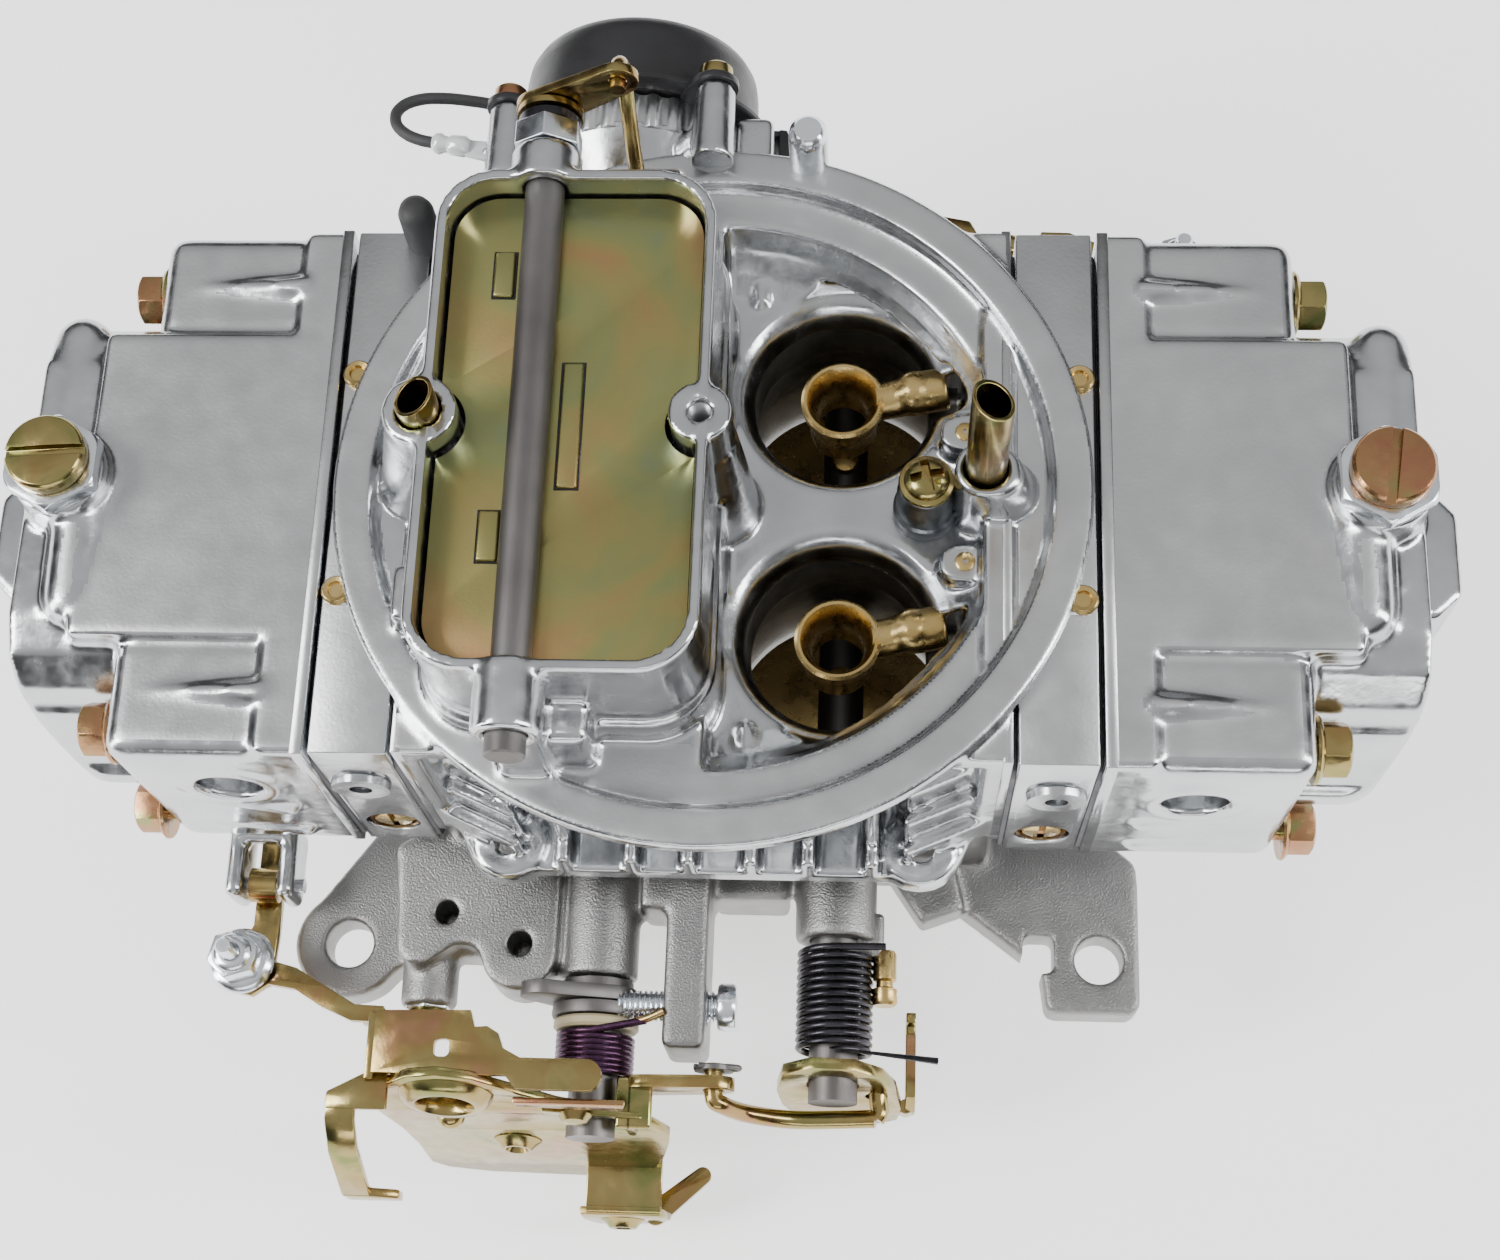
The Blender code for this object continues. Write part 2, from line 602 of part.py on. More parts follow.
def choke_housing():
    x, z = HOUSING_X, HOUSING_Z
    cup = rod((x, 66.5, z), (x, 75.7, z), 22.0, 32)
    neck = box((-36.0, -2.0), (47.3, 67.5), (44.0, 63.5), 2.0, 1)
    cup = join(cup, neck)
    for angle in HOUSING_POSTS:
        px = x + POST_CIRCLE * math.cos(math.radians(angle))
        pz = z + POST_CIRCLE * math.sin(math.radians(angle))
        inward = Vector((x - px, 0, z - pz)).normalized() * 7
        web = plate(capsule((px, pz), (px + inward.x, pz + inward.z), 3.4), "Y", 67.0, 75.0)
        cup = join(cup, web, rod((px, 66.8, pz), (px, 80.0, pz), 3.4, 12))
    cup = cut(cup, rod((x, 69.0, z), (x, 80.0, z), 18.5, 24))
    cup = cut(cup, box((-20.5, -7.5), (46.0, 61.5), (40.0, 72.0)))
    name_part(cup, "choke_housing", POLISHED)
    cap = turned([(0, 17.3), (18.5, 17.3), (20.6, 16.3), (21.6, 14.2), (22.0, 11.0), (22.0, 5.6),
                  (22.0, 4.3), (23.4, 4.3), (23.4, 0.0), (17.6, 0.0), (17.6, -4.0), (0, -4.0)],
                 (0, 0, 0), sides=32)
    cap.data.transform(Matrix.Translation(Vector((x, 76.0, z)) * MM)
                       @ Matrix.Rotation(-math.pi / 2, 4, "X"))
    name_part(cap, "choke_cap", BLACK)
    hoop = rod((x, 80.7, z), (x, 82.0, z), 26.0, 32)
    for angle in HOUSING_POSTS:
        px = x + POST_CIRCLE * math.cos(math.radians(angle))
        pz = z + POST_CIRCLE * math.sin(math.radians(angle))
        hoop = join(hoop, rod((px, 80.9, pz), (px, 81.8, pz), 4.4, 12))
    hoop = cut(hoop, rod((x, 78, z), (x, 84, z), 22.5, 32))
    name_part(hoop, "choke_cap_retainer", BLACK)


WIRE_ROUTE = [(-40.2, 84.2, 62.5), (-46.0, 84.6, 64.2), (-50.0, 84.4, 65.6),
              (-54.0, 83.8, 67.2), (-58.0, 82.6, 68.8), (-61.0, 80.6, 70.0), (-62.4, 78.0, 70.8),
              (-62.0, 75.4, 71.0), (-60.0, 73.4, 71.0), (-57.4, 72.2, 71.0), (-54.8, 71.6, 71.0)]
WIRE_RADIUS = 1.1


def smooth_route(points, pieces=3):
    """Points on a smooth curve through the given ones."""
    places = [Vector(p) for p in points]
    ends = [2 * places[0] - places[1]] + places + [2 * places[-1] - places[-2]]
    result = []
    for a, b, c, d in zip(ends, ends[1:], ends[2:], ends[3:]):
        for i in range(pieces):
            t = i / pieces
            result.append(0.5 * (2 * b + (c - a) * t + (2 * a - 5 * b + 4 * c - d) * t * t
                                 + (3 * b - a - 3 * c + d) * t ** 3))
    result.append(places[-1])
    return result


def ground_wire():
    name_part(wire(smooth_route(WIRE_ROUTE, 2), WIRE_RADIUS), "ground_wire", BLACK)
    sleeve = rod((-54.4, 71.5, 71.0), (-47.5, 70.4, 71.2), 1.9, 12)
    blade = plate(capsule((-47.8, 70.2), (-44.6, 69.6), 1.4, 1.4, 3), "Z", 70.6, 71.6)
    name_part(join(sleeve, blade), "ground_wire_terminal", ZINC)


# ---------------------------------------------------------------- throttle linkage

def throttle_plates(side):
    for sy, label in ((-1, "near"), (1, "far")):
        x, y = side * BORE[0], sy * BORE[1]
        half = PLATE_THICK / 2
        disc = rod((x, y, SHAFT_Z - half), (x, y, SHAFT_Z + half), PLATE_RADIUS, 24)
        name_part(disc, f"{NAMES[side]}_throttle_plate_{label}", BRASS, (x, 0, SHAFT_Z))


def plate_slots(x):
    half = PLATE_THICK / 2 + GAP
    reach = PLATE_RADIUS + GAP
    return [box((x - 6, x + 6), (sy * BORE[1] - reach, sy * BORE[1] + reach),
                (SHAFT_Z - half, SHAFT_Z + half)) for sy in (-1, 1)]


def throttle_shafts():
    x = -BORE[0]
    shaft = cut(rod((x, LEVER_Y[0] - 1.0, SHAFT_Z), (x, 60.0, SHAFT_Z), SHAFT_RADIUS, 16),
                *plate_slots(x))
    stop = plate(capsule((x, SHAFT_Z), (x + 1.5, SHAFT_Z + 5.5), 8.0, 3.0), "Y", -77.2, -74.5)
    name_part(join(shaft, stop), "primary_throttle_shaft", SHAFT, (x, 0, SHAFT_Z))
    x = BORE[0]
    shaft = cut(rod((x, -95.4, SHAFT_Z), (x, 72.0, SHAFT_Z), SHAFT_RADIUS, 16),
                *plate_slots(x))
    name_part(shaft, "secondary_throttle_shaft", SHAFT, (x, 0, SHAFT_Z))


def throttle_lever():
    x, z = -BORE[0], SHAFT_Z
    low, high = LEVER_Y
    bore = circle(x, z, SHAFT_RADIUS + GAP, 16)
    outline = [(-56, 38), (-60, 30), (-61, 18), (-56, 6), (-50, -12), (-44, -18), (-28, -20),
               (-12, -14), (-6, -4), (-8, 10), (-14, 22), (-26, 32), (-36, 38)]
    main = plate(outline, "Y", low, high, [bore, circle(-48, 22, 5.0), circle(-33, 22, 1.8, 10)])
    shelf = plate([(-59.5, -100.8), (-59.5, -87), (-43, -87), (-43, -90), (-36, -93),
                   (-30, -100.8)], "Z", 35.4, 37.4)
    tab = box((-66.0, -58.5), (-112.0, -99.9), (6.0, 30.0), 0.5, 1)
    foot = box((-25.0, -10.5), (-113.6, -100.4), (-13.5, -11.0))
    toe = box((-24.6, -10.9), (-115.0, -112.6), (-30.0, -11.5))
    arm = plate(capsule((-17, 17), PRIMARY_PIN, 6.0, 3.6), "Y", *ARM_Y,
                [circle(*PRIMARY_PIN, LINK_RADIUS + GAP, 12)])
    riser = box((-17.0, -11.5), (LEVER_Y[0] + 1, ARM_Y[1] - 0.6), (12.0, 22.0))
    lever = join(main, shelf, tab, foot, toe, arm, riser)
    lever = cut(lever, rod((x, -120, z), (x, -80, z), SHAFT_RADIUS + GAP, 16))
    name_part(lever, "throttle_lever", GOLD, (x, 0, z))


def secondary_lever():
    x, z = BORE[0], SHAFT_Z
    outline = [(13, 20), (12, 6), (14, -4), (26, -6), (33, -2), (34, 6), (33, 14), (30, 22),
               (24, 25), (16, 24)]
    leaf = plate(outline, "Y", *ARM_Y, [circle(*SECONDARY_PIN, LINK_RADIUS + GAP, 12)])
    hook = join(box((31.0, 38.0), (ARM_Y[0] + 0.3, ARM_Y[1] - 0.3), (-2.0, 1.5)),
                box((35.6, 37.7), (-93.6, -76.0), (-2.4, 6.0)))
    lever = cut(join(leaf, hook), rod((x, -99, z), (x, -90, z), SHAFT_RADIUS + GAP, 16))
    name_part(lever, "secondary_lever", GOLD, (x, 0, z))


def throttle_link():
    """The link turns on the primary pin and ends just in front of the secondary lever's hole."""
    (px, pz), (sx, sz) = PRIMARY_PIN, SECONDARY_PIN
    y = LINK_Y
    route = [(px, -90.0, pz), (px, y + 1.4, pz), (px + 1.2, y, pz - 0.6),
             (px + 8, y - 0.6, pz - 7.0), (px + 18, y - 0.6, pz - 11.4), (sx - 5, y - 0.4, sz - 0.8),
             (sx + 1.5, y - 0.2, sz)]
    name_part(wire(route, LINK_RADIUS), "throttle_link", GOLD, (px, (ARM_Y[0] + ARM_Y[1]) / 2, pz))


COIL_STEPS = 7                  # points along each turn of a spring


def coil(centre, radius, turns, wire_radius, start_tail, end_tail, name, mat):
    """A torsion spring wound round the Y axis, with a straight tail at each end."""
    (x, z), (y0, y1) = centre
    count = turns * COIL_STEPS
    points = []
    for i in range(count + 1):
        angle = math.pi / 2 + 2 * math.pi * i / COIL_STEPS
        points.append((x + radius * math.cos(angle), y0 + (y1 - y0) * i / count,
                       z + radius * math.sin(angle)))
    name_part(wire([start_tail] + points + [end_tail], wire_radius), name, mat)


def return_springs():
    x, z = -BORE[0], SHAFT_Z
    coil(((x, z), (-80.6, -90.6)), 6.8, 7, 0.65, (x + 10.0, -80.6, z + 9.4),
         (x - 10.0, -90.6, z + 5.0), "primary_return_spring", SPRING)
    x = BORE[0]
    coil(((x, z), (-67.5, -86.0)), 6.6, 11, 0.7, (x + 9.5, -67.3, z + 8.0),
         (x + 21.0, -87.0, z + 4.4), "secondary_return_spring", SPRING)


def pump_linkage(side):
    """Pump arm on the throttle body and pump lever under the bowl, one of each per end."""
    toward = side
    px, pz = PUMP_ARM_X, PUMP_ARM_Z
    bx, by = PUMP_BOLT
    strap = plate(capsule((side * px, pz), (side * (bx - 9), pz + 4), 5.0, 3.0), "Y",
                  toward * PUMP_ARM_Y[0], toward * PUMP_ARM_Y[1])
    pad = plate(capsule((side * (bx - 9), toward * 81.5), (side * bx, toward * by), 3.4, 5.0), "Z",
                pz + 5.0, pz + 7.2, [circle(side * bx, toward * by, 1.9, 10)])
    hub = rod((side * px, toward * 79.9, pz), (side * px, toward * 85.4, pz), 4.6, 16)
    name_part(join(strap, pad, hub), NAMES[side] + "_pump_arm", GOLD, (side * px, toward * 82.2, pz))
    y, z = PUMP_PIVOT
    mid = (CLEVIS_X[0] + CLEVIS_X[1]) / 2
    bar = box((side * (mid - 2.6), side * (mid + 2.6)), (toward * 34.0, toward * (by + 3)),
              (z - 5.0, z - 2.6))
    collar = rod((side * (mid - 2.6), toward * y, z), (side * (mid + 2.6), toward * y, z), 3.4, 16)
    lever = cut(join(bar, collar), rod((side * 70, toward * y, z), (side * 100, toward * y, z),
                                       1.4 + GAP, 12),
                rod((side * mid, toward * by, z - 8), (side * mid, toward * by, z), 1.7, 10))
    name_part(lever, NAMES[side] + "_pump_lever", GOLD, (side * mid, toward * y, z))


def build():
    throttle_body()
    throttle_gasket()
    main_body()
    for side in (PRIMARY, SECONDARY):
        metering_parts(side)
        fuel_bowl(side)
        bowl_screws(side)
        level_adjuster(side)
        fuel_float(side)
        pump_cover(side)
        throttle_plates(side)
        pump_linkage(side)
        for sy, label in ((-1, "near"), (1, "far")):
            booster(side, sy, label)
    discharge_nozzle()
    vent_tube(VENT_X[0], "primary")
    vent_tube(VENT_X[1], "secondary")
    idle_screw()
    choke_parts()
    choke_housing()
    ground_wire()
    throttle_shafts()
    throttle_lever()
    secondary_lever()
    throttle_link()
    return_springs()


clear_scene()
PARTS = new_collection("carburetor")
CAST = material("bead_blasted_casting", (0.42, 0.42, 0.43), 0.8, 0.55)
POLISHED = material("polished_casting", (0.72, 0.73, 0.74), 1.0, 0.2)
GASKET = material("gasket_sheet", (0.05, 0.05, 0.055), 0.0, 0.8)
BRASS = material("brass", (0.62, 0.44, 0.16), 1.0, 0.28)
GOLD = material("yellow_zinc", (0.64, 0.52, 0.26), 1.0, 0.3)
ZINC = material("clear_zinc", (0.6, 0.63, 0.66), 1.0, 0.3)
SHAFT = material("shaft_steel", (0.24, 0.23, 0.23), 1.0, 0.42)
SPRING = material("spring_steel", (0.04, 0.035, 0.045), 0.8, 0.35)
BLACK = material("black_plastic", (0.015, 0.015, 0.016), 0.0, 0.35)
FLOAT = material("closed_cell_float", (0.03, 0.03, 0.03), 0.0, 0.8)
build()
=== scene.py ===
"""Looks of the four-barrel carburetor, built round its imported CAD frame.

Lengths are millimetres and are scaled to metres by the builders. The frame is the CAD's: the
origin is the centre of the base flange's lower face, +Z up, -X the primary end and -Y the
throttle lever side.
"""
import math

import bmesh
import bpy
from mathutils import Matrix, Vector


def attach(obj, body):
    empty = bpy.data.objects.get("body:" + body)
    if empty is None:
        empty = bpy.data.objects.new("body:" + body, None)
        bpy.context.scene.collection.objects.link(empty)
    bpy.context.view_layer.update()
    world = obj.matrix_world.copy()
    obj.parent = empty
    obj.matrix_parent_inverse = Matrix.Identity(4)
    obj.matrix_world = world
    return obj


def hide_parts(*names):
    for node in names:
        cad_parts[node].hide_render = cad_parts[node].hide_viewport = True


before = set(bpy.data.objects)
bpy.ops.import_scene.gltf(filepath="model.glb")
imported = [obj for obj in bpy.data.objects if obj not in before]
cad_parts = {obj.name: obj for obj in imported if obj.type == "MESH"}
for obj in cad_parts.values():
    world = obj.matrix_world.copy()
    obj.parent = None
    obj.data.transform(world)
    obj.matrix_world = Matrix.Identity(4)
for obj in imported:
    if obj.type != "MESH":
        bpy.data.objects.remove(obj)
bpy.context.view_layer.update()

MM = 0.001
WELD = 0.000004
VOXEL = 0.65                    # size of the cells that castings are fused on

# Driving sizes, the same as the CAD's
BORE = (22.0, 23.0)
SHAFT_Z = 16.0
SHAFT_RADIUS = 4.5
MAIN_BOTTOM = 32.0
DECK_Z = 66.5
RING_TOP = 79.0
RING_RADIUS = 65.1
RING_INNER = 58.5
TOWER_X = (-45.5, 1.5)
TOWER_HALF_Y = 44.5
TOWER_TOP = 105.0
TOWER_WALL = 2.0                # thinner than the CAD's 3.2, as the photo shows
CHOKE_X = -28.0
CHOKE_Z = 101.0
CHOKE_SHAFT_RADIUS = 3.3
BOWL_X = (66.6, 101.5)
BOWL_NOSE_X = 121.0
BOWL_SCREWS = ((42.0, 64.5), (45.8, 31.0))
LEVEL_X = 113.0
LEVEL_SEAT_Z = 80.5
HOUSING_X = -17.5
HOUSING_Z = 60.0
HOUSING_POSTS = (55.0, 145.0, 270.0)
POST_CIRCLE = 27.5
VENT_X = (-45.5, 46.5)
BLEED_ROWS = (31.5, 12.9, -11.6, -29.6)
FLANGE_HOLE = (71.45, 65.9)
LINK_Y = -96.8
PRIMARY_PIN = (0.5, 21.0)
SECONDARY_PIN = (30.0, 9.9)
LINK_RADIUS = 1.7
PUMP_ARM_X = 54.0
PUMP_ARM_Z = 14.0
PUMP_BOLT = (88.0, 73.0)
PUMP_LEVER_PIN = (57.0, 17.0)

PRIMARY, SECONDARY = -1, 1
NAMES = {PRIMARY: "primary", SECONDARY: "secondary"}
ROOT = "carburetor_body"


# ---------------------------------------------------------------- camera, floor and light

CAMERA_YAW = 10.43              # degrees
CAMERA_PITCH = 70.42
CAMERA_ROLL = -8.94
CAMERA_DISTANCE = 398.4
CAMERA_TARGET = (4.77, -30.17, 50.0)
CAMERA_LENS = 53.75
CAMERA_SHIFT = (0.0062, 0.0483)
FLOOR_Z = -34.0


def add_camera():
    yaw, pitch, roll = (math.radians(a) for a in (CAMERA_YAW, CAMERA_PITCH, CAMERA_ROLL))
    back = Vector((math.sin(yaw) * math.cos(pitch), -math.cos(yaw) * math.cos(pitch),
                   math.sin(pitch)))
    right = Vector((0, 0, 1)).cross(back).normalized()
    up = back.cross(right)
    right, up = (math.cos(roll) * right + math.sin(roll) * up,
                 math.cos(roll) * up - math.sin(roll) * right)
    data = bpy.data.cameras.new("camera")
    data.sensor_width = 36.0
    data.lens = CAMERA_LENS
    data.shift_x, data.shift_y = CAMERA_SHIFT
    data.clip_start = 0.01
    camera = bpy.data.objects.new("camera", data)
    place = (Vector(CAMERA_TARGET) + back * CAMERA_DISTANCE) * MM
    turn = Matrix((right, up, back)).transposed().to_4x4()
    camera.matrix_world = Matrix.Translation(place) @ turn
    bpy.context.scene.collection.objects.link(camera)
    bpy.context.scene.camera = camera


def add_light(name, place, aim, size, power, tint=(1.0, 1.0, 1.0)):
    data = bpy.data.lights.new(name, "AREA")
    data.shape = "RECTANGLE"
    data.size, data.size_y = size
    data.energy = power
    data.color = tint
    light = bpy.data.objects.new(name, data)
    turn = (Vector(place) - Vector(aim)).to_track_quat("Z", "Y").to_matrix().to_4x4()
    light.matrix_world = Matrix.Translation(place) @ turn
    bpy.context.scene.collection.objects.link(light)


def add_studio():
    world = bpy.data.worlds.new("studio")
    world.use_nodes = True
    nodes, links = world.node_tree.nodes, world.node_tree.links
    where = nodes.new("ShaderNodeTexCoord")
    split = nodes.new("ShaderNodeSeparateXYZ")
    links.new(where.outputs["Generated"], split.inputs[0])
    ramp = nodes.new("ShaderNodeValToRGB")
    stops = ((0.0, 0.30), (0.48, 0.50), (0.53, 0.06), (0.68, 0.12), (0.78, 0.62), (1.0, 0.90))
    while len(ramp.color_ramp.elements) < len(stops):
        ramp.color_ramp.elements.new(0.5)
    for element, (spot, grey) in zip(ramp.color_ramp.elements, stops):
        element.position = spot
        element.color = (grey, grey, grey * 1.01, 1.0)
    spread = nodes.new("ShaderNodeMapRange")
    spread.inputs["From Min"].default_value = -1.0
    links.new(split.outputs["Z"], spread.inputs["Value"])
    links.new(spread.outputs["Result"], ramp.inputs["Fac"])
    links.new(ramp.outputs["Color"], nodes["Background"].inputs["Color"])
    nodes["Background"].inputs["Strength"].default_value = 0.85
    bpy.context.scene.world = world
    add_light("key", (-0.75, -0.15, 0.85), (0, 0, 0.05), (0.5, 0.4), 7.0)
    add_light("strip_left", (-0.9, -0.35, 0.45), (0, 0, 0.05), (0.22, 0.9), 8.0)
    add_light("strip_right", (0.9, -0.1, 0.55), (0, 0, 0.05), (0.22, 0.9), 8.0)
    add_light("front", (0.1, -0.95, 0.35), (0, 0, 0.04), (0.9, 0.18), 2.2)
    floor = box((-1500, 1500), (-1500, 1500), (FLOOR_Z - 4, FLOOR_Z))
    floor.name = "studio_floor"
    glow = FLOOR.node_tree.nodes["Principled BSDF"]
    glow.inputs["Emission Color"].default_value = (1.0, 1.0, 1.0, 1.0)
    glow.inputs["Emission Strength"].default_value = 1.05
    floor.data.materials.append(FLOOR)


# ---------------------------------------------------------------- materials

def ramp_colours(ramp, stops):
    while len(ramp.color_ramp.elements) < len(stops):
        ramp.color_ramp.elements.new(0.5)
    for element, (spot, colour) in zip(ramp.color_ramp.elements, stops):
        element.position = spot
        element.color = (*colour, 1.0)


def finish(name, colours, metallic, roughness, patch=60.0, grain=(900.0, 0.15), stretch=(1, 1, 1),
           scratch=0.0, coat=0.0, specular=0.5, warp=0.0):
    """A surface with patches of colour, uneven roughness, a grain and optional scratches."""
    mat = bpy.data.materials.new(name)
    mat.use_nodes = True
    nodes, links = mat.node_tree.nodes, mat.node_tree.links
    shader = nodes["Principled BSDF"]
    shader.inputs["Metallic"].default_value = metallic
    shader.inputs["Coat Weight"].default_value = coat
    shader.inputs["Specular IOR Level"].default_value = specular
    where = nodes.new("ShaderNodeTexCoord")
    scale = nodes.new("ShaderNodeMapping")
    scale.inputs["Scale"].default_value = stretch
    links.new(where.outputs["Object"], scale.inputs["Vector"])
    patches = nodes.new("ShaderNodeTexNoise")
    patches.inputs["Scale"].default_value = patch
    patches.inputs["Detail"].default_value = 3.0
    patches.inputs["Distortion"].default_value = warp
    links.new(where.outputs["Object"], patches.inputs["Vector"])
    ramp = nodes.new("ShaderNodeValToRGB")
    ramp_colours(ramp, colours)
    links.new(patches.outputs["Fac"], ramp.inputs["Fac"])
    links.new(ramp.outputs["Color"], shader.inputs["Base Color"])
    worn = nodes.new("ShaderNodeTexNoise")
    worn.inputs["Scale"].default_value = patch * 4.0
    worn.inputs["Detail"].default_value = 5.0
    links.new(scale.outputs["Vector"], worn.inputs["Vector"])
    spread = nodes.new("ShaderNodeMapRange")
    spread.inputs["From Min"].default_value = 0.3
    spread.inputs["From Max"].default_value = 0.7
    spread.inputs["To Min"].default_value = roughness[0]
    spread.inputs["To Max"].default_value = roughness[1]
    links.new(worn.outputs["Fac"], spread.inputs["Value"])
    links.new(spread.outputs["Result"], shader.inputs["Roughness"])
    fine = nodes.new("ShaderNodeTexNoise")
    fine.inputs["Scale"].default_value = grain[0]
    fine.inputs["Detail"].default_value = 4.0
    links.new(scale.outputs["Vector"], fine.inputs["Vector"])
    bump = nodes.new("ShaderNodeBump")
    bump.inputs["Strength"].default_value = grain[1]
    bump.inputs["Distance"].default_value = 0.0002
    links.new(fine.outputs["Fac"], bump.inputs["Height"])
    last = bump
    if scratch:
        lines = nodes.new("ShaderNodeTexVoronoi")
        lines.feature = "DISTANCE_TO_EDGE"
        lines.inputs["Scale"].default_value = 55.0
        links.new(where.outputs["Object"], lines.inputs["Vector"])
        thin = nodes.new("ShaderNodeMapRange")
        thin.inputs["From Max"].default_value = 0.012
        links.new(lines.outputs["Distance"], thin.inputs["Value"])
        nick = nodes.new("ShaderNodeBump")
        nick.inputs["Strength"].default_value = scratch
        nick.inputs["Distance"].default_value = 0.0001
        links.new(thin.outputs["Result"], nick.inputs["Height"])
        links.new(bump.outputs["Normal"], nick.inputs["Normal"])
        last = nick
    links.new(last.outputs["Normal"], shader.inputs["Normal"])
    return mat


POLISHED = finish("polished_casting", ((0.3, (0.47, 0.48, 0.495)), (0.7, (0.61, 0.62, 0.63))), 1.0,
                  (0.14, 0.29), patch=70, grain=(300, 0.42))
SATIN = finish("satin_machined", ((0.3, (0.50, 0.505, 0.51)), (0.7, (0.60, 0.605, 0.61))), 1.0,
               (0.30, 0.42), patch=45, grain=(1500, 0.2))
BLASTED = finish("bead_blasted_casting", ((0.3, (0.25, 0.247, 0.243)), (0.7, (0.33, 0.327, 0.32))),
                 1.0, (0.32, 0.46), patch=60, grain=(2600, 0.8))
# Painted shade: a dark metal colour laid on bore walls to stand for the shade deep inside the bores.
BORE_PAINTED_SHADE = finish("bore_painted_shade", ((0.3, (0.10, 0.095, 0.085)), (0.7, (0.24, 0.23, 0.21))), 0.9,
                   (0.3, 0.5), patch=120, grain=(1200, 0.5))
YELLOW = finish("yellow_zinc", ((0.28, (0.37, 0.19, 0.11)), (0.42, (0.33, 0.23, 0.085)),
                                (0.55, (0.36, 0.285, 0.115)), (0.72, (0.20, 0.22, 0.075))), 1.0,
                (0.14, 0.28), patch=85, grain=(500, 0.25), warp=0.6)
CHOKE_YELLOW = finish("choke_plate_zinc", ((0.28, (0.44, 0.20, 0.12)), (0.40, (0.42, 0.27, 0.12)),
                                           (0.50, (0.36, 0.31, 0.12)), (0.60, (0.29, 0.31, 0.13)),
                                           (0.70, (0.25, 0.29, 0.17)), (0.80, (0.38, 0.29, 0.13))),
                      1.0, (0.30, 0.40), patch=34, grain=(1800, 0.10), warp=0.7)
COPPER = finish("pink_zinc", ((0.3, (0.37, 0.163, 0.0962)), (0.55, (0.385, 0.222, 0.104)),
                              (0.7, (0.266, 0.266, 0.104))), 1.0, (0.18, 0.32), patch=130,
                grain=(1400, 0.12), warp=0.8)
BRASS = finish("brass", ((0.3, (0.52, 0.36, 0.13)), (0.7, (0.66, 0.49, 0.21))), 1.0,
               (0.22, 0.36), patch=110, grain=(1200, 0.2))
ZINC = finish("clear_zinc", ((0.3, (0.68, 0.72, 0.76)), (0.7, (0.84, 0.87, 0.90))), 1.0,
              (0.14, 0.28), patch=120, grain=(1300, 0.12))
DARK_ZINC = finish("dark_zinc_nozzle", ((0.3, (0.13, 0.14, 0.15)), (0.7, (0.24, 0.25, 0.26))), 1.0,
                   (0.28, 0.42), patch=120, grain=(1500, 0.3))
STEEL = finish("shaft_steel", ((0.3, (0.15, 0.14, 0.137)), (0.7, (0.22, 0.21, 0.205))), 1.0,
               (0.42, 0.55), patch=50, grain=(1800, 0.2), stretch=(1, 0.12, 1))
SPRING = finish("spring_steel", ((0.3, (0.03, 0.03, 0.035)), (0.7, (0.07, 0.065, 0.075))), 0.9,
                (0.22, 0.36), patch=120, grain=(1500, 0.1))
PURPLE = finish("purple_spring", ((0.3, (0.045, 0.02, 0.045)), (0.7, (0.09, 0.04, 0.08))), 0.9,
                (0.2, 0.34), patch=120, grain=(1500, 0.1))
RED = finish("red_spring_paint", ((0.3, (0.45, 0.015, 0.03)), (0.7, (0.62, 0.03, 0.05))), 0.0,
             (0.3, 0.45), patch=150, grain=(1600, 0.1), coat=0.3)
PLASTIC = finish("black_plastic", ((0.3, (0.012, 0.012, 0.013)), (0.7, (0.02, 0.02, 0.022))), 0.0,
                 (0.30, 0.42), patch=60, grain=(2200, 0.25))
RUBBER = finish("black_rubber", ((0.3, (0.025, 0.025, 0.026)), (0.7, (0.045, 0.045, 0.047))), 0.0,
                (0.55, 0.7), patch=90, grain=(2400, 0.3))
PAPER = finish("gasket_sheet", ((0.3, (0.10, 0.10, 0.11)), (0.7, (0.16, 0.16, 0.17))), 0.0,
               (0.7, 0.85), patch=200, grain=(3000, 0.5))
TAN = finish("tan_bushing", ((0.3, (0.52, 0.44, 0.26)), (0.7, (0.62, 0.54, 0.34))), 0.0,
             (0.4, 0.5), patch=120, grain=(1500, 0.1))
FOAM = finish("closed_cell_float", ((0.3, (0.02, 0.02, 0.02)), (0.7, (0.05, 0.05, 0.05))), 0.0,
              (0.7, 0.85), patch=200, grain=(3000, 0.6))
CLEAR = finish("terminal_sleeve", ((0.3, (0.72, 0.73, 0.74)), (0.7, (0.86, 0.87, 0.88))), 0.2,
               (0.12, 0.25), patch=160, grain=(1200, 0.2), coat=0.6)
FLOOR = finish("studio_floor", ((0.3, (0.90, 0.90, 0.90)), (0.7, (0.92, 0.92, 0.92))), 0.0,
               (0.8, 0.9), patch=4, grain=(200, 0.0), specular=0.1)


# ---------------------------------------------------------------- shape tools

def add_object(name, data):
    item = bpy.data.objects.new(name, data)
    bpy.context.scene.collection.objects.link(item)
    return item


def mesh_from(bm, name="shape"):
    mesh = bpy.data.meshes.new(name)
    bmesh.ops.recalc_face_normals(bm, faces=bm.faces)
    bm.to_mesh(mesh)
    bm.free()
    return add_object(name, mesh)


def span(low, high):
    return min(low, high), max(low, high)


def box(x, y, z, rounding=0.0, segments=3):
    ranges = [span(*x), span(*y), span(*z)]
    bm = bmesh.new()
    bmesh.ops.create_cube(bm, size=1.0)
    bmesh.ops.scale(bm, vec=[(high - low) * MM for low, high in ranges], verts=bm.verts)
    bmesh.ops.translate(bm, vec=[(high + low) * MM / 2 for low, high in ranges], verts=bm.verts)
    if rounding:
        bmesh.ops.bevel(bm, geom=bm.edges[:], offset=rounding * MM, segments=segments,
                        profile=0.5, affect="EDGES", clamp_overlap=True)
    return mesh_from(bm)


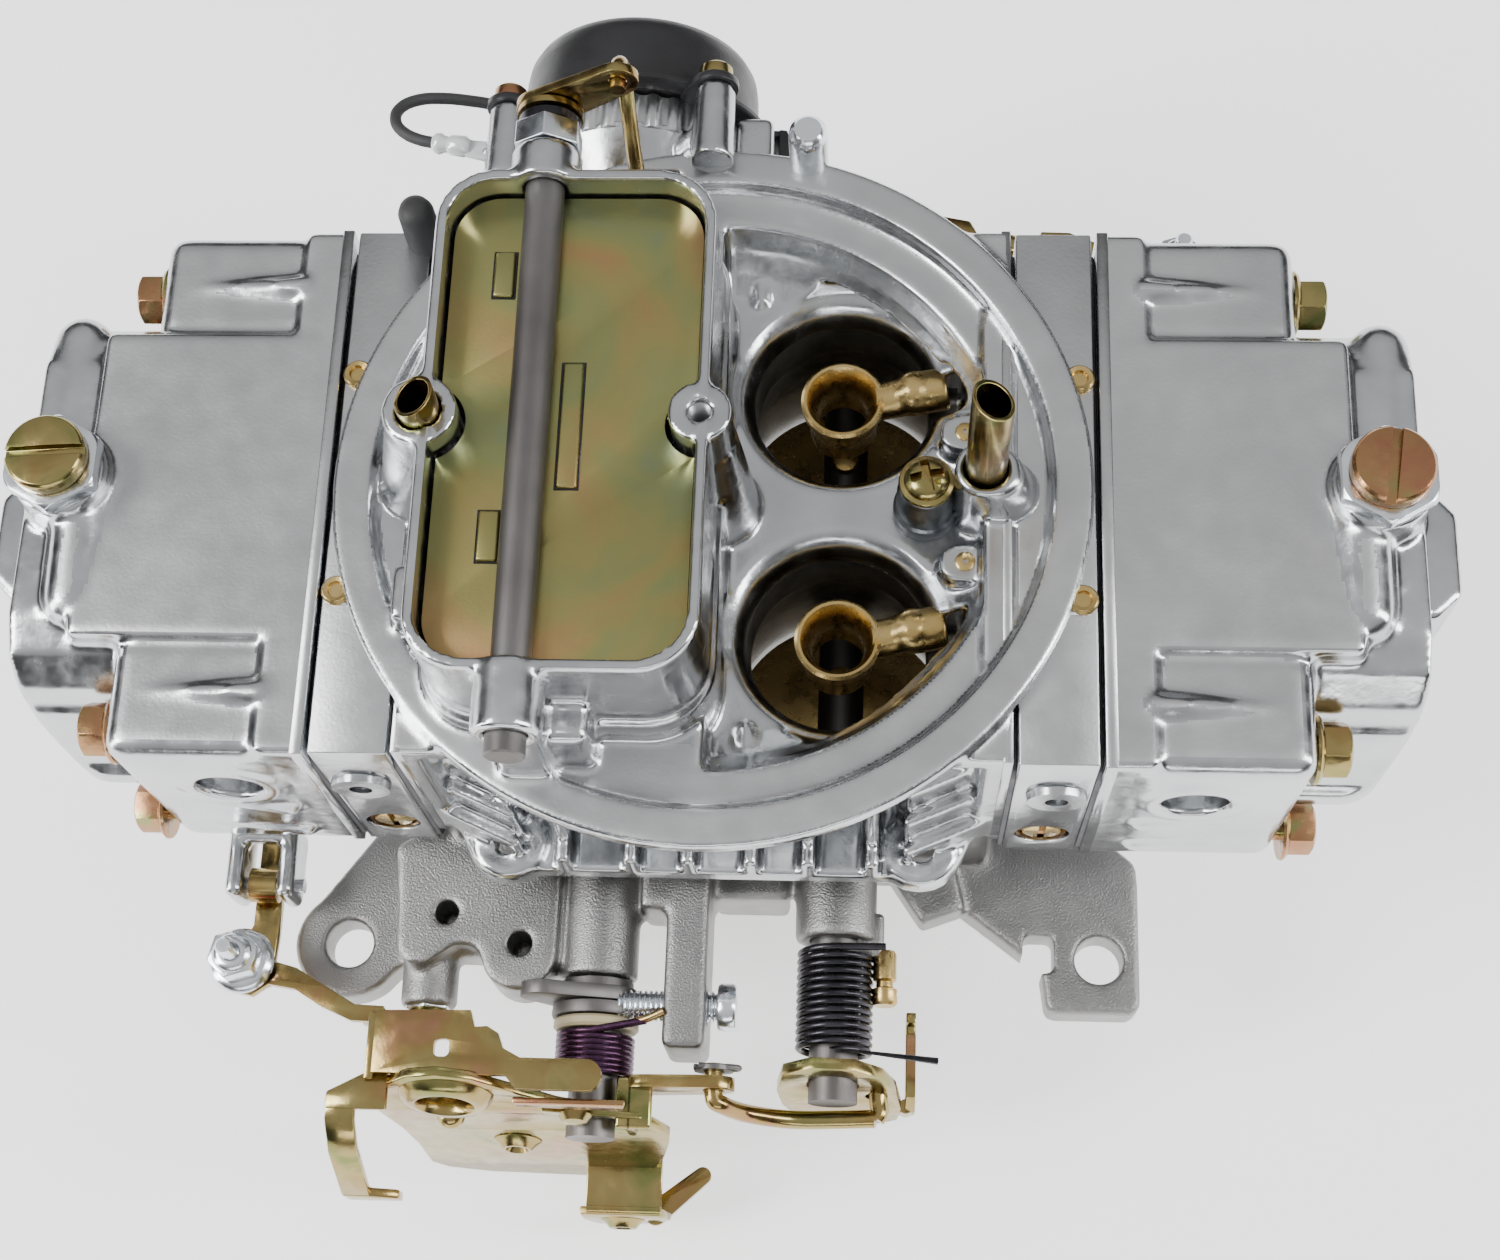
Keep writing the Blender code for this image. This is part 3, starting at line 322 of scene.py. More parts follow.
def rod(start, end, radius, sides=40, end_radius=None):
    a = Vector(start) * MM
    b = Vector(end) * MM
    last = radius if end_radius is None else end_radius
    turn = (b - a).to_track_quat("Z", "Y").to_matrix().to_4x4()
    bm = bmesh.new()
    bmesh.ops.create_cone(bm, cap_ends=True, segments=sides, radius1=radius * MM,
                          radius2=last * MM, depth=(b - a).length,
                          matrix=Matrix.Translation((a + b) / 2) @ turn)
    return mesh_from(bm)


def ball(centre, radius, sides=24):
    bm = bmesh.new()
    bmesh.ops.create_uvsphere(bm, u_segments=sides, v_segments=sides // 2, radius=radius * MM,
                              matrix=Matrix.Translation(Vector(centre) * MM))
    return mesh_from(bm)


def turned(profile, centre=(0, 0, 0), axis="Z", sides=64):
    """A turned shape: a closed ring of (radius, height) points, or a run between axis points."""
    bm = bmesh.new()
    rings = []
    for r, h in profile:
        if r < 1e-6:
            rings.append([bm.verts.new((0, 0, h * MM))])
            continue
        rings.append([bm.verts.new((r * MM * math.cos(2 * math.pi * i / sides),
                                    r * MM * math.sin(2 * math.pi * i / sides), h * MM))
                      for i in range(sides)])
    pairs = list(zip(rings, rings[1:]))
    if profile[0][0] > 1e-6 and profile[-1][0] > 1e-6:
        pairs.append((rings[-1], rings[0]))
    for low, high in pairs:
        for i in range(sides):
            j = (i + 1) % sides
            if len(low) == 1:
                bm.faces.new((low[0], high[i], high[j]))
            elif len(high) == 1:
                bm.faces.new((low[i], low[j], high[0]))
            else:
                bm.faces.new((low[i], low[j], high[j], high[i]))
    item = mesh_from(bm)
    if axis == "Y":
        item.data.transform(Matrix.Rotation(-math.pi / 2, 4, "X"))
    if axis == "X":
        item.data.transform(Matrix.Rotation(math.pi / 2, 4, "Y"))
    item.data.transform(Matrix.Translation(Vector(centre) * MM))
    return item


PLANES = {
    "Z": Matrix.Identity(4),
    "Y": Matrix.Rotation(math.pi / 2, 4, "X"),
    "X": Matrix(((0, 0, 1, 0), (1, 0, 0, 0), (0, 1, 0, 0), (0, 0, 0, 1))),
}


def plate(outline, axis, low, high, holes=(), rounding=0.0):
    """A flat piece across an axis, with holes and, if asked, rounded edges."""
    low, high = span(low, high)
    curve = bpy.data.curves.new("plate", "CURVE")
    curve.dimensions = "2D"
    curve.fill_mode = "BOTH"
    curve.extrude = (high - low) * MM / 2 - rounding * MM
    curve.bevel_depth = rounding * MM
    curve.bevel_resolution = 3
    curve.offset = -rounding * MM
    for points in (outline, *holes):
        spline = curve.splines.new("POLY")
        spline.points.add(len(points) - 1)
        for point, (a, b) in zip(spline.points, points):
            point.co = (a * MM, b * MM, 0.0, 1.0)
        spline.use_cyclic_u = True
    item = add_object("plate", curve)
    middle = (low + high) * MM / 2
    shift = {"X": (middle, 0, 0), "Y": (0, middle, 0), "Z": (0, 0, middle)}[axis]
    item.matrix_world = Matrix.Translation(shift) @ PLANES[axis]
    return curve_to_mesh(item)


def wire(points, radius, resolution=4, smooth=0):
    """A round wire along the given points; smooth adds points on a curve between them."""
    if smooth:
        points = smooth_route(points, smooth)
    curve = bpy.data.curves.new("wire", "CURVE")
    curve.dimensions = "3D"
    curve.bevel_depth = radius * MM
    curve.bevel_resolution = resolution
    curve.use_fill_caps = True
    spline = curve.splines.new("POLY")
    spline.points.add(len(points) - 1)
    for point, place in zip(spline.points, points):
        point.co = (*(Vector(place) * MM), 1.0)
    return curve_to_mesh(add_object("wire", curve))


def smooth_route(points, pieces):
    """Points on a smooth curve through the given ones."""
    places = [Vector(p) for p in points]
    ends = [2 * places[0] - places[1]] + places + [2 * places[-1] - places[-2]]
    result = []
    for a, b, c, d in zip(ends, ends[1:], ends[2:], ends[3:]):
        for i in range(pieces):
            t = i / pieces
            result.append(0.5 * (2 * b + (c - a) * t + (2 * a - 5 * b + 4 * c - d) * t * t
                                 + (3 * b - a - 3 * c + d) * t ** 3))
    result.append(places[-1])
    return result


def curve_to_mesh(item):
    bpy.context.view_layer.update()
    ready = item.evaluated_get(bpy.context.evaluated_depsgraph_get())
    mesh = bpy.data.meshes.new_from_object(ready)
    mesh.transform(item.matrix_world)
    bm = bmesh.new()
    bm.from_mesh(mesh)
    bmesh.ops.remove_doubles(bm, verts=bm.verts, dist=0.000002)
    bmesh.ops.recalc_face_normals(bm, faces=bm.faces)
    bm.to_mesh(mesh)
    bm.free()
    bpy.data.objects.remove(item, do_unlink=True)
    return add_object("shape", mesh)


def bake(item):
    bpy.context.view_layer.update()
    ready = item.evaluated_get(bpy.context.evaluated_depsgraph_get())
    mesh = bpy.data.meshes.new_from_object(ready)
    item.modifiers.clear()
    item.data = mesh


def combine(base, others, operation):
    for other in others:
        step = base.modifiers.new("step", "BOOLEAN")
        step.operation = operation
        step.solver = "EXACT"
        step.object = other
        bake(base)
        bm = bmesh.new()
        bm.from_mesh(base.data)
        bmesh.ops.remove_doubles(bm, verts=bm.verts, dist=WELD)
        bmesh.ops.dissolve_degenerate(bm, edges=bm.edges, dist=WELD)
        bm.to_mesh(base.data)
        bm.free()
        bpy.data.objects.remove(other, do_unlink=True)
    return base


def join(base, *others):
    return combine(base, others, "UNION")


def cut(base, *others):
    return combine(base, others, "DIFFERENCE")


def pool(base, *others):
    """Put several closed shapes in one mesh without fusing them."""
    bm = bmesh.new()
    for item in (base, *others):
        bm.from_mesh(item.data)
    for item in others:
        bpy.data.objects.remove(item, do_unlink=True)
    mesh = bpy.data.meshes.new("pool")
    bm.to_mesh(mesh)
    bm.free()
    base.data = mesh
    return base


def fuse(item, voxel=VOXEL, passes=5, strength=0.5):
    """Fuse overlapping shapes into one skin and soften it like a casting."""
    step = item.modifiers.new("fuse", "REMESH")
    step.mode = "VOXEL"
    step.voxel_size = voxel * MM
    step.adaptivity = 0.0
    ease = item.modifiers.new("ease", "SMOOTH")
    ease.factor = strength
    ease.iterations = passes
    bake(item)
    return item


def soften(item, width=0.3, segments=2, angle=35):
    """Round the sharp edges of a machined or folded piece."""
    step = item.modifiers.new("soften", "BEVEL")
    step.width = width * MM
    step.segments = segments
    step.limit_method = "ANGLE"
    step.angle_limit = math.radians(angle)
    step.harden_normals = False
    bake(item)
    return item


def circle(x, y, radius, count=32, start=0.0):
    turn = 2 * math.pi / count
    return [(x + radius * math.cos(start + i * turn), y + radius * math.sin(start + i * turn))
            for i in range(count)]


def rounded(x, y, radius, steps=10):
    (x0, x1), (y0, y1) = span(*x), span(*y)
    corners = ((x1 - radius, y1 - radius, 0), (x0 + radius, y1 - radius, 90),
               (x0 + radius, y0 + radius, 180), (x1 - radius, y0 + radius, 270))
    points = []
    for cx, cy, start in corners:
        for i in range(steps + 1):
            angle = math.radians(start + 90 * i / steps)
            points.append((cx + radius * math.cos(angle), cy + radius * math.sin(angle)))
    return points


def capsule(start, end, radius, end_radius=None, steps=12):
    last = radius if end_radius is None else end_radius
    along = math.atan2(end[1] - start[1], end[0] - start[0])
    points = []
    for (cx, cy), r, turn in ((end, last, -90), (start, radius, 90)):
        for i in range(steps + 1):
            angle = along + math.radians(turn + 180 * i / steps)
            points.append((cx + r * math.cos(angle), cy + r * math.sin(angle)))
    return points


def hexagon(x, y, across_flats, start=math.pi / 6):
    return circle(x, y, across_flats / math.sqrt(3), 6, start)


def spin(item, degrees, axis, centre):
    """Turn a shape about a line through a point."""
    middle = Vector(centre) * MM
    item.data.transform(Matrix.Translation(middle) @ Matrix.Rotation(math.radians(degrees), 4, axis)
                        @ Matrix.Translation(-middle))
    return item


def piece(item, name, mat, body=ROOT, replaces=(), angle=40):
    """Finish a piece: its name, material, shading, body and the CAD nodes it stands for."""
    item.name = name
    item.data.name = name
    item.data.materials.clear()
    item.data.materials.append(mat)
    item.data.shade_smooth()
    item.data.set_sharp_from_angle(angle=math.radians(angle))
    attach(item, body)
    if replaces:
        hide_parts(*replaces)
    return item


def paint(item, mat, wanted):
    """Give the faces for which wanted(centre in mm, normal) holds a second material."""
    item.data.materials.append(mat)
    index = len(item.data.materials) - 1
    for face in item.data.polygons:
        if wanted(face.center / MM, face.normal):
            face.material_index = index


# ---------------------------------------------------------------- castings

def both(side, low, high):
    return (side * low, side * high)


def lower_flange():
    """Outline of the main body's lower plate, with its two screw ears on each long side."""
    points = []
    for sy in (-1, 1):
        run = []
        for sx in (-1, 1):
            ear = [(sx * 47.5, sy * 48.0)]
            ear += [(sx * 37.0 + 7.6 * math.sin(a) * sx, sy * (53.0 + 7.0 * math.cos(a)))
                    for a in (math.radians(d) for d in (62, 40, 20, 0, -20, -42))]
            ear += [(sx * 27.5, sy * 58.2)]
            run += ear if sx < 0 else ear[::-1]
        points += run if sy < 0 else run[::-1]
    return points


def horn_outside():
    return turned([(0, RING_TOP), (64.6, RING_TOP), (RING_RADIUS, RING_TOP - 0.5),
                   (RING_RADIUS, 75.6), (64.0, 74.8), (61.8, 73.6), (58.6, 71.0), (54.6, 65.0),
                   (50.0, 57.0), (45.0, 46.0), (0, 46.0)], sides=160)


def half_bowl():
    """The deep part of the air horn, on the secondary side of the choke tower."""
    bowl = turned([(0, RING_TOP), (51.5, RING_TOP), (51.0, 75.0), (49.3, 71.5), (46.2, 68.2),
                   (42.0, DECK_Z), (0, DECK_Z)], sides=128)
    return cut(bowl, box((-60, 0.5), (-60, 60), (60, 90)))


def bell(x, y, top, mouth, throat, bottom):
    """A bore with a bell mouth that narrows to a throat and opens out below it."""
    profile = [(0, top + 3), (throat + mouth + 0.9, top + 3)]
    for i in range(1, 9):
        a = math.radians(90 * i / 8)
        profile.append((throat + mouth * (1 - math.sin(a)), top + 0.2 - 9.0 * (1 - math.cos(a))))
    profile += [(throat - 0.2, 53.0), (throat + 2.0, 46.0), (throat + 4.8, bottom - 1),
                (0, bottom - 1)]
    return turned(profile, (x, y, 0), sides=72)


def corner_fins(sx, sy):
    slope = [(sy * 40, 34), (sy * 48, 34), (sy * 47.4, 42), (sy * 42, 64), (sy * 40, 64)]
    fins = [plate(slope, "X", sx * 33.0, sx * 48.5)]
    for k in range(4):
        y0 = 41.0 + 3.0 * k
        fin = box((sx * 33.0, sx * 48.5), (sy * (y0 - 0.85), sy * (y0 + 0.85)),
                  (35.0, 67.0 - 7.5 * k), 0.2, 1)
        fins.append(spin(fin, -sx * sy * 24, "Z", (sx * 46.0, sy * y0, 0)))
    return fins


def main_body_parts():
    """Shapes outside the air horn; they overlap and are fused later."""
    shapes = []
    for sx in (-1, 1):
        shapes.append(box(both(sx, 46.3, 51.2), (-49.3, 49.3), (32.2, 77.2), 0.8))
        strip = box(both(sx, 30.0, 51.2), (-49.3, 49.3), (73.0, 77.4))
        shapes.append(cut(strip, rod((0, 0, 70), (0, 0, 80), 59.5, 96)))
    shapes.append(plate(lower_flange(), "Z", 32.3, 36.8))
    for sy in (-1, 1):
        for x in (-26.5, -14.4, -4.2, 7.0, 17.2, 28.5):
            shapes.append(box((x - 1.2, x + 1.2), (sy * 40, sy * 58.4), (34.0, 44.0), 0.5, 2))
            shapes.append(box((x - 1.2, x + 1.2), (sy * 40, sy * 54.0), (40.0, 68.0), 0.5, 2))
        for sx in (-1, 1):
            shapes += corner_fins(sx, sy)
            shapes.append(rod((sx * 37.0, sy * 53.0, 32.6), (sx * 37.0, sy * 53.0, 38.0), 6.6))
    return shapes


def tower_parts():
    wall = plate(rounded(TOWER_X, (-TOWER_HALF_Y, TOWER_HALF_Y), 10.0), "Z", 62.0, TOWER_TOP)
    skirt = plate(rounded((TOWER_X[0] - 1.0, TOWER_X[1] + 1.0), (-46.0, 46.0), 11.0), "Z", 62.0,
                  82.0)
    near_block = rod((CHOKE_X, -54.4, CHOKE_Z), (CHOKE_X, -42.0, CHOKE_Z), 5.7, 48)
    near_column = box((CHOKE_X - 4.4, CHOKE_X + 4.4), (-53.6, -42.0), (70.0, 101.0), 1.8, 4)
    ledge = box((CHOKE_X, CHOKE_X + 11.0), (-51.0, -42.0), (70.0, 90.0), 1.4, 4)
    far_boss = rod((CHOKE_X, 42.0, CHOKE_Z), (CHOKE_X, 49.4, CHOKE_Z), 6.0)
    step = box((-52.0, -44.0), (-28.5, -18.5), (70.0, 84.5), 1.2)
    web = plate([(-44, 72), (-58.5, 75.5), (-56.5, 78.8), (-50.5, 96.0), (-48.5, 103.5),
                 (-44, 104)], "Y", -2.6, 3.0)
    collar = rod((VENT_X[0], 0, 70.0), (VENT_X[0], 0, TOWER_TOP - 0.6), 6.2)
    flare = rod((VENT_X[0] - 4.5, 0, 72.0), (VENT_X[0] - 1.0, 0, 99.0), 8.0, end_radius=5.5)
    stud = rod((0, 0, 60), (0, 0, TOWER_TOP - 0.4), 5.2, 48)
    stud_foot = rod((0.8, 0, 62), (0.4, 0, 94), 7.8, end_radius=5.2)
    return [stud, wall, skirt, near_block, near_column, ledge, far_boss, step, web, collar,
            flare, stud_foot]


def horn_extras():
    extras = [rod((VENT_X[1], 0, 60), (VENT_X[1], 0, 84.6), 5.2),
              rod((VENT_X[1] + 6.0, -1.2, 62), (VENT_X[1] + 1.2, -0.4, 83), 8.0, end_radius=5.0),
              ball((36.8, 36.4, 67.4), 2.6)]
    for y in BLEED_ROWS:
        extras.append(plate(capsule((42.6, y), (48.5, y), 3.5), "Z", 60.0, 71.4))
    return extras


def main_body():
    core = box((-49, 49), (-44.5, 44.5), (33, 73))
    horn = join(horn_outside(), core)
    horn = cut(horn, turned([(0, 81), (RING_INNER, 81), (RING_INNER - 0.4, 77.2), (57.2, 76.2),
                             (54.6, 75.9), (0, 75.9)], sides=160))
    horn = cut(horn, half_bowl())
    body = fuse(pool(horn, *main_body_parts(), *tower_parts(), *horn_extras()), voxel=0.6,
                passes=1)
    inside = plate(rounded((TOWER_X[0] + TOWER_WALL, TOWER_X[1] - TOWER_WALL),
                           (-TOWER_HALF_Y + TOWER_WALL, TOWER_HALF_Y - TOWER_WALL), 8.2), "Z", 64.5,
                   TOWER_TOP + 2)
    inside = cut(inside, rod((0, 0, 60), (0, 0, TOWER_TOP - 0.4), 5.2, 48),
                 rod((VENT_X[0], 0, 60), (VENT_X[0], 0, TOWER_TOP - 0.6), 6.2, 48))
    body = cut(body, inside)
    corners = [(sx, sy) for sx in (-1, 1) for sy in (-1, 1)]
    bells = [bell(sx * BORE[0], sy * BORE[1], DECK_Z, 5.0, 15.6, MAIN_BOTTOM)
             for sx, sy in corners]
    slots = [box(both(sx, 33.0, 44.0 if sx > 0 else 41.5),
                 (sy * BORE[1] - 4.0, sy * BORE[1] + 4.0), (56.5, 70.5)) for sx, sy in corners]
    ears = [rod((sx * 37.0, sy * 53.0, 30), (sx * 37.0, sy * 53.0, 40), 2.6, 24)
            for sx, sy in corners]
    body = cut(body, pool(*bells), pool(
        *slots, *ears, rod((0, 0, 84), (0, 0, 110), 1.95, 24),
        rod((CHOKE_X, -70, CHOKE_Z), (CHOKE_X, 70, CHOKE_Z), CHOKE_SHAFT_RADIUS + 0.2, 40),
        rod((VENT_X[1], 0, 77), (VENT_X[1], 0, 90), 3.75, 32),
        rod((VENT_X[0], 0, 77), (VENT_X[0], 0, 110), 3.75, 32),
        rod((36.8, 0, 60), (36.8, 0, 75), 2.6, 24),
        box((-22.0, -7.0), (50.6, 60.6), (50.0, RING_TOP + 2), 1.6)))
    body = fuse(body, voxel=0.58, passes=2)
    edges = [box(both(sx, 49.6, 51.25), (-49.4, 49.4), (32.1, 77.35), 0.15, 1) for sx in (-1, 1)]
    body = pool(body, *edges)
    piece(body, "main_body_casting", POLISHED, replaces=["main_body"], angle=60)

    def machined(place, normal):
        level = abs(place.z - RING_TOP) < 0.6 or abs(place.z - 77.4) < 0.5
        floor = abs(place.z - 75.9) < 0.5 and place.xy.length > 47
        pads = abs(place.z - 71.4) < 0.6 and place.x > 38
        return normal.z > 0.9 and (level or floor or pads)

    # Painted shade: bore walls below the venturi deck get the dark bore colour, standing for the
    # shade deep in the bores.
    def deep(place, normal):
        return place.z < 60.5 and min((place.xy - Vector((sx * BORE[0], sy * BORE[1]))).length
                                      for sx in (-1, 1) for sy in (-1, 1)) < 20.8

    paint(body, SATIN, machined)
    paint(body, BORE_PAINTED_SHADE, deep)


def metering_block(side):
    name = NAMES[side]
    block = box(both(side, 52.15, 65.45), (-49.4, 49.4), (25.2, 76.3), 0.4, 2)
    wells = [box(both(side, 56.0, 70.0), (sy * 8.0, sy * 36.0), (34.0, 62.0)) for sy in (-1, 1)]
    block = cut(block, *wells)
    for y, z in BOWL_SCREWS:
        for sy in (-1, 1):
            block = cut(block, rod((side * 50, sy * y, z), (side * 68, sy * y, z), 2.8, 20))
    block = cut(block, rod((side * 58.8, -60, 36), (side * 58.8, -41, 36), 4.9, 40))
    block = cut(block, rod((side * 58.8, -41.5, 36), (side * 58.8, -30, 36), 2.6, 24))
    boss = turned([(3.0, -1.0), (5.0, -1.0), (5.2, 0.2), (4.6, 1.0), (2.6, 1.0), (2.0, 0.2),
                   (2.0, -1.0)], (side * 59.5, -49.9, 60.5), axis="Y", sides=40)
    rib = box(both(side, 53.2, 64.4), (22.0, 23.0), (74.0, 76.6), 0.3, 1)
    rib2 = box(both(side, 53.2, 64.4), (-23.0, -22.0), (74.0, 76.6), 0.3, 1)
    block = pool(soften(block, 0.4, 2), boss, rib, rib2)
    piece(block, name + "_metering_body", POLISHED,
          replaces=[name + "_metering_block"], angle=30)
    paint(block, SATIN, lambda place, normal: normal.z > 0.9 and place.z > 74.5)
    screw = join(rod((side * 58.8, -48.8, 36), (side * 58.8, -30.5, 36), 2.3, 24),
                 rod((side * 58.8, -49.0, 36), (side * 58.8, -44.0, 36), 3.4, 32))
    slot = box(both(side, 58.2, 59.4), (-50, -47.6), (30, 42))
    piece(soften(cut(screw, slot), 0.2, 2), name + "_idle_mixture_screw", BRASS)
    for sy in (-1, 1):
        plug = turned([(0, 76.7), (1.3, 76.7), (1.5, 77.3), (2.2, 77.5), (2.6, 77.0), (2.6, 75.2),
                       (0, 75.2)], (side * 63.0, sy * 20.5, 0), sides=40)
        piece(plug, f"{name}_brass_plug_{'near' if sy < 0 else 'far'}", BRASS)


def nose(side):
    """The rounded front of a bowl, with a lip along its foot."""
    half = [(38.0, 31.5), (41.5, 33.0), (43.8, 38.6), (43.6, 41.8), (41.2, 43.4), (40.2, 50.0),
            (38.4, 58.0), (35.0, 65.5), (30.5, 70.6), (24.0, 73.2)]
    outline = half + [(-y, z) for y, z in half[::-1]]
    ends = sorted((side * 80.0, side * BOWL_NOSE_X))
    block = plate(outline, "X", ends[0], ends[1])
    around = plate(rounded(both(side, 70.0, BOWL_NOSE_X), (-44.0, 44.0), 12.0, 12), "Z", 30.0, 75.0)
    return soften(intersect(block, around), 2.2, 3, 50)


def fuel_bowl(side):
    def bx(x, y, z, r=0.0, seg=4):
        return box(both(side, *x), y, z, r, seg)
    shapes = [bx((66.35, 75.0), (-49.6, 49.6), (25.0, 76.3), 0.8),
              bx((69.0, 109.5), (-29.0, 29.0), (26.0, 76.4), 1.0),
              nose(side)]
    for sy in (-1, 1):
        shapes.append(bx((70.0, 101.2), (sy * 28.0, sy * 49.9), (24.2, 75.2), 3.6, 6))
        shapes.append(rod((side * 74.0, sy * 38.5, 75.2), (side * 95.0, sy * 38.5, 75.1), 2.2, 20,
                          0.3))
        shapes.append(rod((side * 74.0, sy * 49.6, 46.0), (side * 94.0, sy * 49.5, 48.0), 2.0, 20,
                          0.3))
        shapes.append(rod((side * 74.0, sy * 49.6, 33.0), (side * 98.0, sy * 49.5, 34.0), 2.0, 20,
                          0.3))
    tower = [rod((side * LEVEL_X, 0, 62), (side * LEVEL_X, 0, LEVEL_SEAT_Z), 8.4, 48),
             rod((side * (LEVEL_X - 1), 0, 60), (side * LEVEL_X, 0, 76), 11.0, 48, 8.6),
             rod((side * 109.5, 2, 74.5), (side * 110.0, -21, 72.0), 5.4, 32),
             ball((side * 110.0, -21, 72.0), 5.4),
             rod((side * 116.0, -16, 68.0), (side * 116.0, 30, 68.0), 5.5, 32),
             ball((side * 116.0, 30, 68.0), 5.5), ball((side * 116.0, -16, 68.0), 5.5)]
    wedge = plate([(side * 116, 7), (side * 125, 5), (side * 128.6, 1), (side * 128.6, -14),
                   (side * 124, -18.5), (side * 116, -19)], "Z", 46.0, 65.5, rounding=0.6)
    rim = turned([(5.8, -1.2), (9.0, -1.2), (9.6, 0.0), (9.0, 1.2), (6.6, 1.2), (5.8, 0.4)],
                 (side * 83.0, -49.4, 58.5), axis="Y", sides=56)
    shell = fuse(pool(*shapes, *tower, wedge, rim), voxel=0.8, passes=1)
    shell = cut(shell, rod((side * 83.0, -60, 58.5), (side * 83.0, -45.5, 58.5), 5.7, 48),
                rod((side * LEVEL_X, 0, 60), (side * LEVEL_X, 0, 90), 5.5, 32),
                bx((66.0, 97.5), (-37.0, 37.0), (30.0, 70.0), 3.0),
                bx((96.0, 117.0), (-31.0, 31.0), (36.0, 67.5), 2.0))
    for y, z in BOWL_SCREWS:
        for sy in (-1, 1):
            well = [(0, 60), (2.8, 60), (2.8, 101.4), (6.5, 101.4), (6.5, 124), (0, 124)]
            shell = cut(shell, turned([(r, side * h) for r, h in well], (0, sy * y, z), "X", 36))
    shell = fuse(shell, voxel=VOXEL, passes=2)
    edge = cut(bx((66.35, 68.4), (-49.7, 49.7), (24.8, 76.45), 0.15, 1),
               bx((60.0, 72.0), (-37.0, 37.0), (30.0, 70.0), 3.0))
    shell = pool(shell, edge)
    name = NAMES[side]
    piece(shell, name + "_bowl_casting", POLISHED,
          replaces=[name + "_fuel_bowl"], angle=60)
    paint(shell, SATIN, lambda place, normal: normal.z > 0.965 and place.z > 74.4
          and abs(place.x) < 116)


